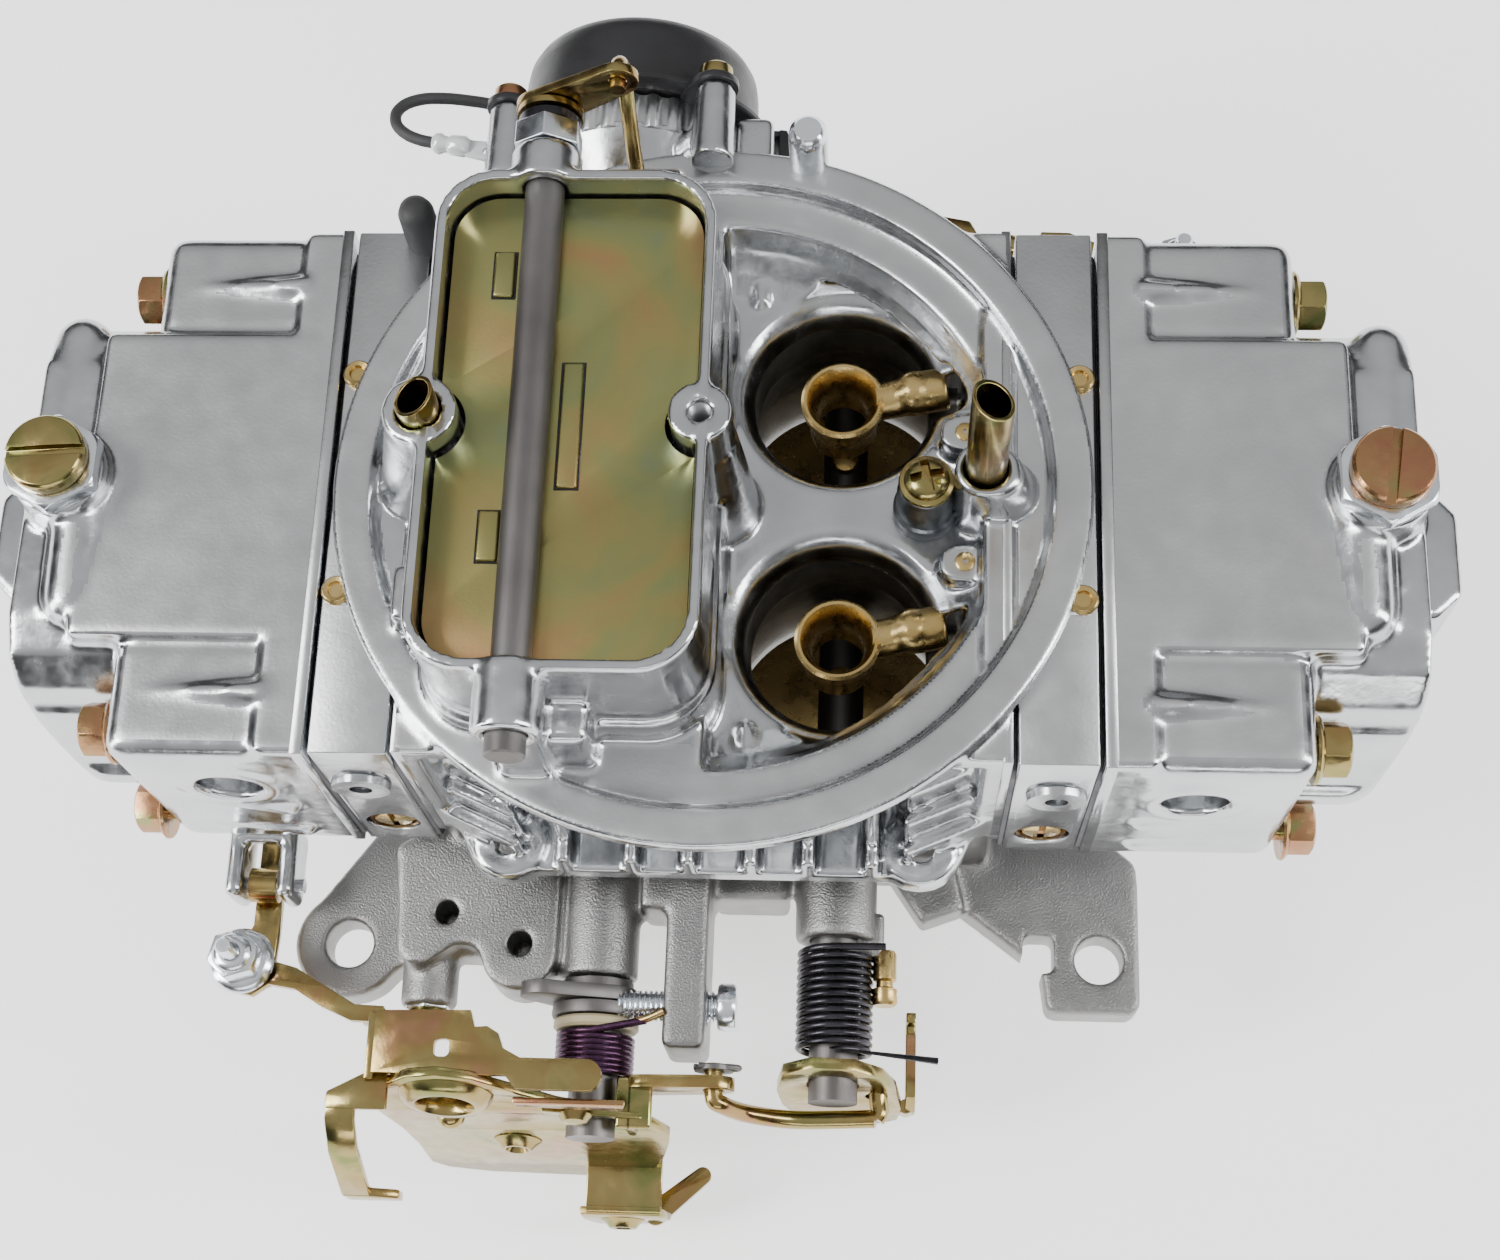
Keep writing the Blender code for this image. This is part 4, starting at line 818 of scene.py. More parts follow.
def throttle_body():
    def foot(sx, sy):
        hx, hy = sx * FLANGE_HOLE[0], sy * FLANGE_HOLE[1]
        if sx > 0:
            outline = [(46, sy * 20), (hx + 7.2, sy * 47.0), (hx + 7.6, sy * 51.0),
                       (hx + 7.6, hy + sy * 8.6), (hx + 6.0, hy + sy * 10.4),
                       (hx - 9.0, hy + sy * 10.4), (hx - 10.0, hy + sy * 9.4),
                       (hx - 11.0, hy + sy * 2.0), (46.0, sy * 57.0), (30, sy * 46)]
            return plate(outline, "Z", 0.2, 8.8)
        arc = [(hx + 10.6 * math.cos(a), hy + 10.6 * math.sin(a)) for a in
               (math.radians(sy * d) for d in range(30, 245, 12))]
        return plate([(-30, sy * 48)] + [(-46, sy * 62)] + arc + [(-58, sy * 30), (-46, sy * 20)],
                     "Z", 0.2, 8.8)

    near = -48.0
    shapes = [plate(rounded((-53.5, 53.5), (-50.5, 50.5), 8.0), "Z", 0.2, 9.0),
              box((-50, 50), (-48, 48), (3.0, 30.4), 2.0),
              rod((-BORE[0], near + 4, SHAFT_Z), (-BORE[0], -73.8, SHAFT_Z), 7.3, 56),
              rod((BORE[0], near + 4, SHAFT_Z), (BORE[0], -65.6, SHAFT_Z), 7.6, 56),
              rod((-BORE[0], -near - 4, SHAFT_Z), (-BORE[0], 58.0, SHAFT_Z), 7.2, 48),
              rod((BORE[0], -near - 4, SHAFT_Z), (BORE[0], 62.0, SHAFT_Z), 7.2, 48),
              box((-9.0, -1.2), (-87.5, -46.0), (8.0, 25.8), 1.0),
              box((-14.0, -8.0), (-62.0, -46.0), (10.0, 25.8), 1.0),
              box((-1.2, 13.0), (-58.0, -46.0), (4.0, 18.0), 1.0),
              plate([(30, -49), (44, -49), (46, -58), (38, -61)], "Z", 6.0, 14.0)]
    shapes += [foot(sx, sy) for sx in (-1, 1) for sy in (-1, 1)]
    pad = [(-61.0, -50.0), (-60.0, -60.0), (-59.6, -69.6), (-57.4, -72.4), (-54.0, -72.6),
           (-48.5, -68.6), (-44.5, -69.0)]
    pad += [(-36.6 + 7.0 * math.cos(math.radians(a)), -70.0 + 7.0 * math.sin(math.radians(a)))
            for a in range(190, 361, 17)]
    pad += [(-29.6, -46.0), (-52.0, -44.0)]
    shapes.append(plate(pad, "Z", 8.0, 22.0))
    for side in (-1, 1):
        shapes.append(rod((side * PUMP_ARM_X, side * 58.0, PUMP_ARM_Z),
                          (side * PUMP_ARM_X, side * 79.4, PUMP_ARM_Z), 5.3, 48))
        shapes.append(box(both(side, 40.0, 58.0), (side * 44.0, side * 70.0), (8.5, 18.0), 1.0))
    body = fuse(pool(*shapes), voxel=0.75, passes=1)
    holes, shafts = [], []
    for sx in (-1, 1):
        for sy in (-1, 1):
            hx, hy = sx * FLANGE_HOLE[0], sy * FLANGE_HOLE[1]
            holes.append(turned([(0, -2), (4.5, -2), (4.5, 7.8), (5.2, 9.6), (0, 9.6)],
                                (hx, hy, 0), sides=40))
            holes.append(rod((sx * BORE[0], sy * BORE[1], -2), (sx * BORE[0], sy * BORE[1], 33),
                             21.45, 80))
        shafts.append(rod((sx * BORE[0], -92, SHAFT_Z), (sx * BORE[0], 80, SHAFT_Z),
                          SHAFT_RADIUS + 0.3, 40))
    holes += [rod((-50.5, -62.6, 12), (-50.5, -62.6, 24), 2.2, 24),
              rod((-36.4, -68.2, 12), (-36.4, -68.2, 24), 2.3, 24),
              box((57.2, 63.0), (-68.5, -61.5), (-1, 12), 0.5)]
    body = cut(body, pool(*holes), pool(*shafts), rod((-16, -79, 20), (6, -79, 20), 3.2, 32))
    body = fuse(body, voxel=0.62, passes=3)
    piece(body, "throttle_body_casting", BLASTED,
          replaces=["throttle_body"], angle=60)
    # Painted shade: the bore walls under the throttle plates get the dark bore colour, standing for
    # the shade there.
    paint(body, BORE_PAINTED_SHADE, lambda place, normal: place.z < 14 and abs(normal.z) < 0.5 and
          min((place.xy - Vector((sx * BORE[0], sy * BORE[1]))).length
              for sx in (-1, 1) for sy in (-1, 1)) < 21.9)


# ---------------------------------------------------------------- air and fuel fittings

def booster(side, sy, label):
    x, y = side * BORE[0], sy * BORE[1]
    ring = turned([(7.0, 63.6), (7.5, 63.1), (7.4, 61.4), (6.5, 59.0), (6.1, 56.5), (6.1, 51.6),
                   (5.7, 51.0), (4.7, 51.0), (4.5, 53.0), (4.5, 58.0), (5.0, 60.5), (6.0, 62.8),
                   (6.5, 63.5)], (x, y, 0), sides=72)
    arm = rod((x + side * 5.0, y, 60.0), (x + side * 12.5, y, 61.2), 3.3, 32, 3.5)
    knuckle = rod((x + side * 12.0, y, 61.4), (x + side * 19.0, y, 61.8), 3.9, 40, 3.9)
    lump = ball((x + side * 13.0, y, 62.0), 4.0, 28)
    inner = fuse(pool(arm, knuckle, lump), voxel=0.45, passes=8)
    inner = cut(inner, rod((x, y, 50), (x, y, 66), 6.1, 48))
    spin(inner, side * 10.0, "Z", (x, y, 0))
    item = pool(ring, inner)
    piece(item, f"{NAMES[side]}_booster_venturi_{label}", BRASS,
          replaces=[f"{NAMES[side]}_booster_{label}"])


def discharge():
    x = 36.8
    post = turned([(0, DECK_Z - 1.0), (5.6, DECK_Z - 1.0), (5.6, 69.0), (5.0, 69.6), (5.0, 74.6),
                   (4.6, 75.2), (4.6, 77.4), (4.2, 77.8), (0, 77.8)], (x, 0, 0), sides=56)
    post = soften(cut(post, rod((x, 0, 60), (x, 0, 80), 2.6, 32)), 0.2, 2)
    piece(post, "discharge_nozzle_post", DARK_ZINC,
          replaces=["discharge_nozzle"])
    head = turned([(0, 77.9), (4.6, 77.9), (4.8, 78.4), (4.6, 79.0), (3.9, 79.1), (3.8, 80.2),
                   (3.0, 81.1), (1.6, 81.5), (0, 81.6)], (x, 0, 0), sides=56)
    shank = rod((x, 0, 61), (x, 0, 78.2), 2.2, 24)
    cross = [spin(box((x - 2.9, x + 2.9), (-0.75, 0.75), (78.9, 83)), turn, "Z", (x, 0, 0))
             for turn in (12, 102)]
    head = cut(join(head, shank), join(*cross))
    piece(soften(head, 0.12, 2), "discharge_nozzle_cross_screw", YELLOW,
          replaces=["discharge_nozzle_screw"])


def vent_tube(x, label):
    tube = turned([(3.5, 114.0), (3.5, 78.6), (2.85, 78.6), (2.85, 114.0)], (x, 0, 0), sides=56)
    slant = box((-9, 9), (-9, 9), (0, 14))
    tilt = 33 if x > 0 else -33
    slant.data.transform(Matrix.Translation(Vector((x, 0, 108.8)) * MM)
                         @ Matrix.Rotation(math.radians(tilt), 4, "Y"))
    piece(soften(cut(tube, slant), 0.12, 2), label + "_slanted_vent", YELLOW,
          replaces=[label + "_vent_tube"])


def air_bleeds():
    for number, y in enumerate(BLEED_ROWS):
        bleed = turned([(0, 70.2), (0.45, 70.2), (0.45, 71.8), (1.5, 71.8), (1.75, 71.6),
                        (1.75, 69.0), (0, 69.0)], (43.6, y, 0), sides=32)
        piece(bleed, f"secondary_air_bleed_{number + 1}", BRASS)


def stud_thread():
    rings = [turned([(1.95, 103.6 - 0.7 * i), (1.55, 103.25 - 0.7 * i), (1.95, 102.9 - 0.7 * i),
                     (2.3, 103.25 - 0.7 * i)], sides=32) for i in range(16)]
    piece(pool(*rings), "stud_hole_thread", SATIN)


# ---------------------------------------------------------------- fasteners

def hex_head(centre, flats, low, high, axis_sign):
    """A hexagon across X with its outer corners rounded off."""
    y, z = centre[1:]
    prism = plate(hexagon(y, z, flats, 0.2 * y), "X", low, high)
    reach = flats / 2
    edge = 1.0 * axis_sign
    trim = turned([(0, low - edge), (reach * 1.3, low - edge), (reach * 1.3, high - edge * 1.0),
                   (reach * 0.93, high), (0, high)], (0, y, z), axis="X", sides=40)
    return intersect(prism, trim)


def intersect(base, other):
    return combine(base, [other], "INTERSECT")


def bowl_screws(side):
    start = side * (BOWL_X[1] + 0.3)
    number = 0
    for y, z in BOWL_SCREWS:
        for sy in (-1, 1):
            number += 1
            place = (0, sy * y, z)
            rim = [(0, 0), (5.9, 0), (6.1, 0.5), (5.6, 1.1), (4.4, 1.5), (0, 1.5)]
            washer = turned([(r, side * h) for r, h in rim], (start, sy * y, z), "X", 48)
            head = hex_head(place, 8.6, start + side * 0.8, start + side * 6.0, side)
            pit = turned([(0, 0.6 * side), (2.4, 0), (0, -1.2 * side)],
                         (start + side * 6.0, sy * y, z), axis="X", sides=32)
            head = cut(head, pit)
            shank = rod((side * 54.0, sy * y, z), (start + side * 0.4, sy * y, z), 2.4, 20)
            bolt = pool(soften(head, 0.25, 2), washer, shank)
            colour = YELLOW if side > 0 and number in (1, 2, 4) else COPPER
            piece(bolt, f"{NAMES[side]}_bowl_bolt_{number}", colour,
                  replaces=[f"{NAMES[side]}_bowl_screw_{number}"])


def level_adjuster(side):
    x = side * LEVEL_X
    name = NAMES[side]
    base = LEVEL_SEAT_Z + 0.2
    nut = plate(hexagon(x, 0, 15.8), "Z", base, base + 3.4)
    trim = turned([(0, base), (8.6, base), (9.2, base + 0.8), (9.2, base + 2.5),
                   (8.3, base + 3.4), (0, base + 3.4)], (x, 0, 0), sides=48)
    nut = cut(intersect(nut, trim), rod((x, 0, 70), (x, 0, 90), 3.2, 32))
    sleeve = turned([(3.2, 65.0), (5.1, 65.0), (5.1, base + 0.4), (3.2, base + 0.4)], (x, 0, 0),
                    sides=40)
    piece(pool(soften(nut, 0.3, 2), sleeve), name + "_level_hex", ZINC,
          replaces=[name + "_level_nut"])
    low = base + 3.7
    head = turned([(0, low), (6.6, low), (6.9, low + 0.4), (6.9, low + 2.8), (6.4, low + 3.4),
                   (0, low + 3.6)], (x, 0, 0), sides=72)
    slot = box((x - 10, x + 10), (-0.85, 0.85), (low + 2.0, low + 6))
    spin(slot, 82 if side > 0 else 4, "Z", (x, 0, 0))
    head = soften(cut(head, slot), 0.18, 2)
    stem = rod((x, 0, 73), (x, 0, low + 0.4), 2.8, 24)
    piece(pool(head, stem), name + "_level_slotted_screw", COPPER if side > 0 else YELLOW,
          replaces=[name + "_level_screw"])


# ---------------------------------------------------------------- choke

CHOKE_BODY = "choke_valve"
CHOKE_SLOTS = ((-34.0, 27.2, 4.2), (-33.4, -20.1, 4.4), (-21.4, -0.4, 11.2))  # x, y, half length


def choke_plate():
    top = CHOKE_Z - 1.6
    wall = TOWER_WALL
    leaf = plate(rounded((TOWER_X[0] + wall + 0.5, TOWER_X[1] - wall - 0.5),
                         (-TOWER_HALF_Y + wall + 0.5, TOWER_HALF_Y - wall - 0.5), 7.8), "Z",
                 top - 1.2, top)
    leaf = cut(leaf, rod((0, 0, top - 3), (0, 0, top + 3), 6.0, 48),
               rod((VENT_X[0], 0, top - 3), (VENT_X[0], 0, top + 3), 6.9, 48))
    leaf = soften(leaf, 0.25, 2, 50)
    tabs = []
    for x, y, half in CHOKE_SLOTS:
        tab = box((x - 1.75, x + 1.75), (y - half, y + half), (top - 0.6, top + 0.75), 0.5, 3)
        tabs.append(tab)
    piece(pool(leaf, *tabs), "choke_plate_leaf", CHOKE_YELLOW, CHOKE_BODY,
          replaces=["choke_plate"])
    for number, (x, y, half) in enumerate(CHOKE_SLOTS):
        # Painted shade: a thin near-black frame round each tab stands for the shade in the gap
        # between tab and slot.
        ring = cut(box((x - 2.05, x + 2.05), (y - half - 0.3, y + half + 0.3),
                       (top - 0.2, top + 0.12), 0.1, 1),
                   box((x - 1.7, x + 1.7), (y - half + 0.05, y + half - 0.05), (top - 2, top + 2)))
        piece(ring, f"choke_plate_slot_painted_shade_{number + 1}", SPRING, CHOKE_BODY)


def choke_gear():
    shaft = turned([(0, -57.6), (3.0, -57.6), (CHOKE_SHAFT_RADIUS, -57.3),
                    (CHOKE_SHAFT_RADIUS, 57.4), (0, 57.4)], (CHOKE_X, 0, CHOKE_Z), axis="Y",
                   sides=56)
    piece(shaft, "choke_shaft_bar", STEEL, CHOKE_BODY, replaces=["choke_shaft"])
    nut = plate(hexagon(CHOKE_X, CHOKE_Z, 10.6), "Y", 49.8, 54.2)
    nut = cut(nut, rod((CHOKE_X, 48, CHOKE_Z), (CHOKE_X, 60, CHOKE_Z), 3.45, 32))
    piece(soften(nut, 0.6, 3), "choke_shaft_nut", ZINC, CHOKE_BODY)
    collar = turned([(3.4, 54.4), (5.2, 54.4), (5.3, 55.8), (4.6, 56.4), (3.4, 56.4)],
                    (CHOKE_X, 0, CHOKE_Z), axis="Y", sides=40)
    piece(collar, "choke_lever_collar", SPRING, CHOKE_BODY)
    washer = turned([(3.4, 56.5), (5.6, 56.5), (5.6, 57.6), (3.4, 57.6)],
                    (CHOKE_X, 0, CHOKE_Z), axis="Y", sides=40)
    piece(washer, "choke_lever_washer", YELLOW, CHOKE_BODY)
    tip = lever_tip()
    arm = plate(capsule((CHOKE_X - 1.5, CHOKE_Z), tip, 4.4, 3.5), "Y", 57.9, 59.5,
                [circle(*tip, 1.6, 24)])
    piece(soften(arm, 0.3, 2, 50), "choke_lever_arm", YELLOW, CHOKE_BODY,
          replaces=["choke_lever"])
    x, z = tip
    route = [(x, 56.4, z), (x, 59.4, z), (x, 61.8, z - 0.6), (x + 0.2, 62.8, z - 2.8),
             (x + 0.4, 61.8, z - 6.0), (x + 0.8, 58.4, z - 12.0), (x + 1.1, 55.9, z - 19.0),
             (x + 1.3, 55.4, z - 28.0), (x + 1.4, 55.4, z - 40.0)]
    piece(wire(route, 1.4, 5, 3), "choke_rod_wire", YELLOW, "choke_link",
          replaces=["choke_rod"])


def lever_tip():
    reach, angle = 15.0, math.radians(35)
    return CHOKE_X + reach * math.cos(angle), CHOKE_Z + reach * math.sin(angle)


def post_place(angle):
    return (HOUSING_X + POST_CIRCLE * math.cos(math.radians(angle)),
            HOUSING_Z + POST_CIRCLE * math.sin(math.radians(angle)))


def choke_housing():
    x, z = HOUSING_X, HOUSING_Z
    shapes = [rod((x, 60.0, z), (x, 69.6, z), 17.0, 64, 21.2),
              box((-36.0, -2.0), (47.6, 66.0), (44.4, 63.4), 3.0),
              box((1.0, 8.6), (61.5, 74.0), (56.0, 76.0), 1.2),
              rod((15.3, 61.0, 66.0), (2.0, 66.0, 62.0), 3.4, 32)]
    for angle in HOUSING_POSTS:
        px, pz = post_place(angle)
        shapes.append(rod((px, 60.0, pz), (px, 75.0, pz), 4.0, 40, 3.6))
        shapes.append(rod((px, 66.0, pz), ((px + x) / 2, 66.0, (pz + z) / 2), 3.4, 32))
    cup = fuse(pool(*shapes), voxel=0.6, passes=4)
    cup = cut(cup, rod((x, 68.5, z), (x, 82.0, z), 18.5, 64),
              box((-20.5, -7.5), (45.0, 61.5), (40.0, 72.0), 0.8))
    piece(cup, "choke_housing_casting", POLISHED, replaces=["choke_housing"],
          angle=60)
    teeth = []
    for i in range(132):
        radius = 21.5 if i % 4 < 2 else 20.8
        angle = 2 * math.pi * i / 132
        teeth.append((x + radius * math.cos(angle), z + radius * math.sin(angle)))
    ring = plate(teeth, "Y", 68.6, 75.4, [circle(x, z, 19.0, 64)])
    piece(soften(ring, 0.12, 1), "choke_housing_ribbed_ring", SATIN)
    for number, angle in enumerate(HOUSING_POSTS):
        px, pz = post_place(angle)
        head = turned([(0, 76.6), (3.0, 76.6), (3.1, 77.0), (3.0, 79.2), (2.5, 79.7), (0, 79.8)],
                      (px, 0, pz), axis="Y", sides=40)
        slot = box((px - 6, px + 6), (79.1, 81), (pz - 0.45, pz + 0.45))
        piece(soften(cut(head, slot), 0.15, 2), f"choke_cap_screw_{number + 1}",
              COPPER if number == 1 else YELLOW)
    tube = turned([(0, 88.6), (2.4, 88.5), (3.3, 87.6), (3.5, 86.0), (3.5, 62.0), (0, 62.0)],
                  (15.3, 63.0, 0), sides=48)
    piece(tube, "far_vacuum_tube", ZINC)
    fitting = soften(plate(hexagon(59.4, 53.0, 7.4), "Z", 52.0, 60.0), 0.6, 2)
    stem = rod((59.4, 53.0, 44.0), (59.4, 53.0, 63.0), 2.8, 32)
    arm = rod((59.4, 53.0, 48.0), (59.4, 46.0, 48.0), 2.8, 32)
    piece(pool(fitting, stem, arm), "far_brass_fitting", BRASS)
    clip = flat([(37.0, 56.0), (45.6, 56.0), (47.0, 58.0), (45.0, 62.0), (40.0, 63.0),
                 (37.0, 61.0)], 58.4, 60.0, axis="Z")
    clip2 = flat([(56.0, 48.0), (62.0, 52.0), (62.0, 58.0), (56.0, 60.0)], 43.8, 45.4, axis="X")
    foot = box((38.0, 45.4), (46.0, 57.4), (47.6, 49.4), 0.4)
    piece(pool(clip, clip2, foot), "far_cable_clip", YELLOW)


def choke_cap():
    x, z = HOUSING_X, HOUSING_Z
    cap = turned([(0, 17.3), (17.0, 17.2), (19.6, 16.8), (21.0, 15.8), (21.8, 14.2), (22.1, 12.0),
                  (22.3, 1.4), (22.0, -0.2), (18.4, -0.2), (18.4, -4.0), (0, -4.0)],
                 (x, 76.0, z), axis="Y", sides=128)
    piece(cap, "choke_cap_dome", PLASTIC, replaces=["choke_cap"])
    ring = turned([(22.6, 0.0), (25.6, 0.0), (26.0, 0.3), (26.0, 1.0), (25.6, 1.3), (22.6, 1.3)],
                  (x, 75.5, z), axis="Y", sides=128)
    shapes = [ring]
    for angle in HOUSING_POSTS:
        px, pz = post_place(angle)
        toward = ((px * 0.86 + x * 0.14), (pz * 0.86 + z * 0.14))
        shapes.append(soften(plate(capsule(toward, (px, pz), 4.4, 4.2), "Y", 75.2, 76.6), 0.3, 2))
    shapes.append(soften(plate([(9.2, 58), (9.2, 76.6), (10.6, 76.4), (11.2, 75.0), (11.0, 58)],
                               "Z", 60.5, 68.0), 0.3, 2))
    shapes.append(box((6.0, 10.8), (75.3, 76.6), (61.0, 67.6), 0.3))
    piece(pool(*shapes), "choke_cap_clamp_ring", PLASTIC,
          replaces=["choke_cap_retainer"])
    cover = turned([(0, 88.0), (1.6, 87.9), (2.7, 87.2), (3.2, 85.8), (3.3, 80.0), (3.3, 70.0),
                    (0, 70.0)], (-53.3, 47.6, 0), sides=48)
    piece(cover, "vacuum_port_cap", RUBBER)


WIRE_ROUTE = [(-40.2, 84.2, 62.5), (-46.0, 84.6, 64.2), (-50.0, 84.4, 65.6), (-54.0, 83.8, 67.2),
              (-58.0, 82.6, 68.8), (-61.0, 80.6, 70.0), (-62.4, 78.0, 70.8), (-62.0, 75.4, 71.0),
              (-60.0, 73.4, 71.0), (-57.4, 72.2, 71.0), (-54.8, 71.6, 71.0)]


def ground_wire():
    lead = wire(WIRE_ROUTE, 1.1, 5, 6)
    piece(lead, "ground_wire_lead", RUBBER, replaces=["ground_wire"])
    sleeve = turned([(0, 0), (1.3, 0), (1.9, 0.6), (2.0, 1.6), (1.6, 2.2), (1.5, 3.0), (1.9, 3.6),
                     (2.0, 6.2), (1.4, 7.2), (0, 7.4)], sides=32)
    turn = Vector((6.9, -1.1, 0.2)).to_track_quat("Z", "Y").to_matrix().to_4x4()
    sleeve.data.transform(Matrix.Translation(Vector((-54.9, 71.6, 71.0)) * MM) @ turn)
    blade = plate(capsule((-48.2, 70.3), (-44.4, 69.6), 1.6, 1.9, 8), "Z", 70.6, 71.5,
                  [circle(-44.6, 69.6, 0.8, 16)])
    terminal = piece(pool(sleeve, soften(blade, 0.2, 2)), "ground_wire_connector", CLEAR,
                     replaces=["ground_wire_terminal"])


# ---------------------------------------------------------------- throttle linkage

THROTTLE_BODY = "primary_throttle_body"
SECOND_BODY = "secondary_throttle_body"


def flat(outline, low, high, holes=(), axis="Y", width=0.35):
    return soften(plate(outline, axis, low, high, holes), width, 2, 50)


def rivet(x, y, z, radius):
    return turned([(0, 0.4), (radius, 0.4), (radius * 1.04, -0.3), (radius * 0.8, -1.0),
                   (radius * 0.62, -1.9), (radius * 0.48, -1.9), (radius * 0.36, -0.8),
                   (0, -0.8)], (x, y, z), axis="Y", sides=40)


def throttle_lever():
    x, z = -BORE[0], SHAFT_Z
    main = flat([(-60.8, 20), (-58, 10), (-56.5, 0), (-56, -11), (-53.0, -14.5), (-46, -16.5),
                 (-26, -17.5), (-20, -15), (-12.5, -12.5), (-10, -4), (-8.5, 4), (-8, 10),
                 (-11.5, 17), (-18, 21.5), (-27, 26), (-35, 33.4), (-40.6, 38.6), (-46.5, 40.6),
                 (-52.4, 39.0), (-57.6, 34), (-60.2, 28)], -102.0, -100.2,
                [circle(x, z, 4.85, 32), circle(-46.5, 30.0, 5.6, 40), circle(-33.2, 28.6, 1.5, 20),
                 circle(-15.5, 14.0, 1.4, 20)])
    eye = turned([(4.8, 0.6), (8.1, 0.6), (8.5, -0.2), (7.8, -1.3), (6.6, -2.2), (5.4, -2.2),
                  (4.8, -1.4)], (-46.5, -101.9, 30.0), axis="Y", sides=56)
    low_lump = ball((-47.6, -101.6, 17.0), 2.6, 24)
    knob = turned([(0, 0), (2.9, 0), (3.1, -1.0), (2.2, -2.3), (0, -2.7)],
                  (-24.0, -101.9, 23.0), axis="Y", sides=36)
    shelf = [(-58.6, -95.4), (-58.6, -84.4), (-41.8, -84.0), (-40.9, -87.0), (-38.6, -86.8),
             (-36.6, -88.0), (-35.6, -90.6), (-32.5, -92.2), (-20.8, -92.2)]
    shelf += [(-20.8 + 2.8 * math.cos(math.radians(a)), -95.0 + 2.8 * math.sin(math.radians(a)))
              for a in range(75, -90, -15)]
    shelf += [(-33.0, -97.7), (-35.0, -95.4)]
    slot = rounded((-47.9, -45.1), (-92.4, -89.2), 1.0, 5)
    top = flat(shelf, 35.6, 37.4, [slot], "Z")
    drop = flat([(-96.4, 36), (-84.4, 36), (-84.4, 24), (-88, 22), (-98.6, 24)], -60.2, -58.5,
                axis="X")
    tab = flat([(-98.6, 35.2), (-103.5, 34.8), (-108.6, 29.6), (-114.2, 16.5), (-114.4, 9.5),
                (-112.7, 9.5), (-112.5, 16.9), (-107.2, 28.6), (-102.8, 33.1), (-98.6, 33.5)],
               -66.8, -61.6, axis="X")
    bend = flat([(-66.8, 9.5), (-56.8, 9.5), (-56.8, 13.6), (-61.8, 15.6), (-66.8, 16.0)],
                -114.4, -112.7)
    bridge = flat([(-66.8, -98.6), (-66.8, -101.6), (-56.0, -101.6), (-56.0, -95.0),
                   (-60.0, -95.0)], 33.5, 35.2, axis="Z")
    foot = flat([(-111.8, -13.2), (-111.8, -11.4), (-100.6, -10.6), (-100.6, -12.6)], -25.5, -11.0,
                axis="X", width=0.25)
    fold = rod((-25.4, -111.6, -13.4), (-11.1, -111.6, -13.4), 1.8, 28)
    toe = flat([(-26.8, -12.4), (-11.0, -12.4), (-9.6, -19.0), (-12.6, -25.6), (-19.0, -28.6),
                (-25.0, -28.2), (-27.0, -22.0)], -113.3, -111.7)
    finger = flat(capsule((-13.0, -111.6), (-4.0, -104.0), 2.3, 1.7), -24.4, -22.8, axis="Z")
    arm = flat(capsule((-11.5, 19.0), PRIMARY_PIN, 4.8, 3.9), -94.5, -92.2,
               [circle(*PRIMARY_PIN, 2.0, 24)])
    riser = box((-17.0, -10.4), (-101.8, -92.4), (20.6, 22.4), 0.7)
    riser2 = box((-15.4, -13.6), (-101.8, -92.4), (12.6, 22.4), 0.7)
    lip = flat([(-30, 25.4), (-12, 22.4), (-12, 21.2), (-30, 22.6)], -103.0, -101.8)
    near_rivet = rivet(-37.0, -101.9, 4.0, 4.4)
    for item in (main, eye, low_lump, knob, lip, near_rivet):
        spin(item, -9, "X", (0, -101.0, 4.0))
    lever = pool(main, eye, low_lump, knob, near_rivet, top, drop, tab, bend, bridge,
                 foot, fold, toe, rivet(-19.0, -113.1, -20.0, 4.2), finger, arm, riser, riser2, lip)
    piece(lever, "throttle_lever_folded", YELLOW, THROTTLE_BODY,
          replaces=["throttle_lever"])
    cam = flat([(-34, 29.5), (-15, 27.0), (-14, 33.6), (-34, 34.0)], -99.6, -98.6)
    piece(cam, "throttle_lever_cam", COPPER, THROTTLE_BODY)


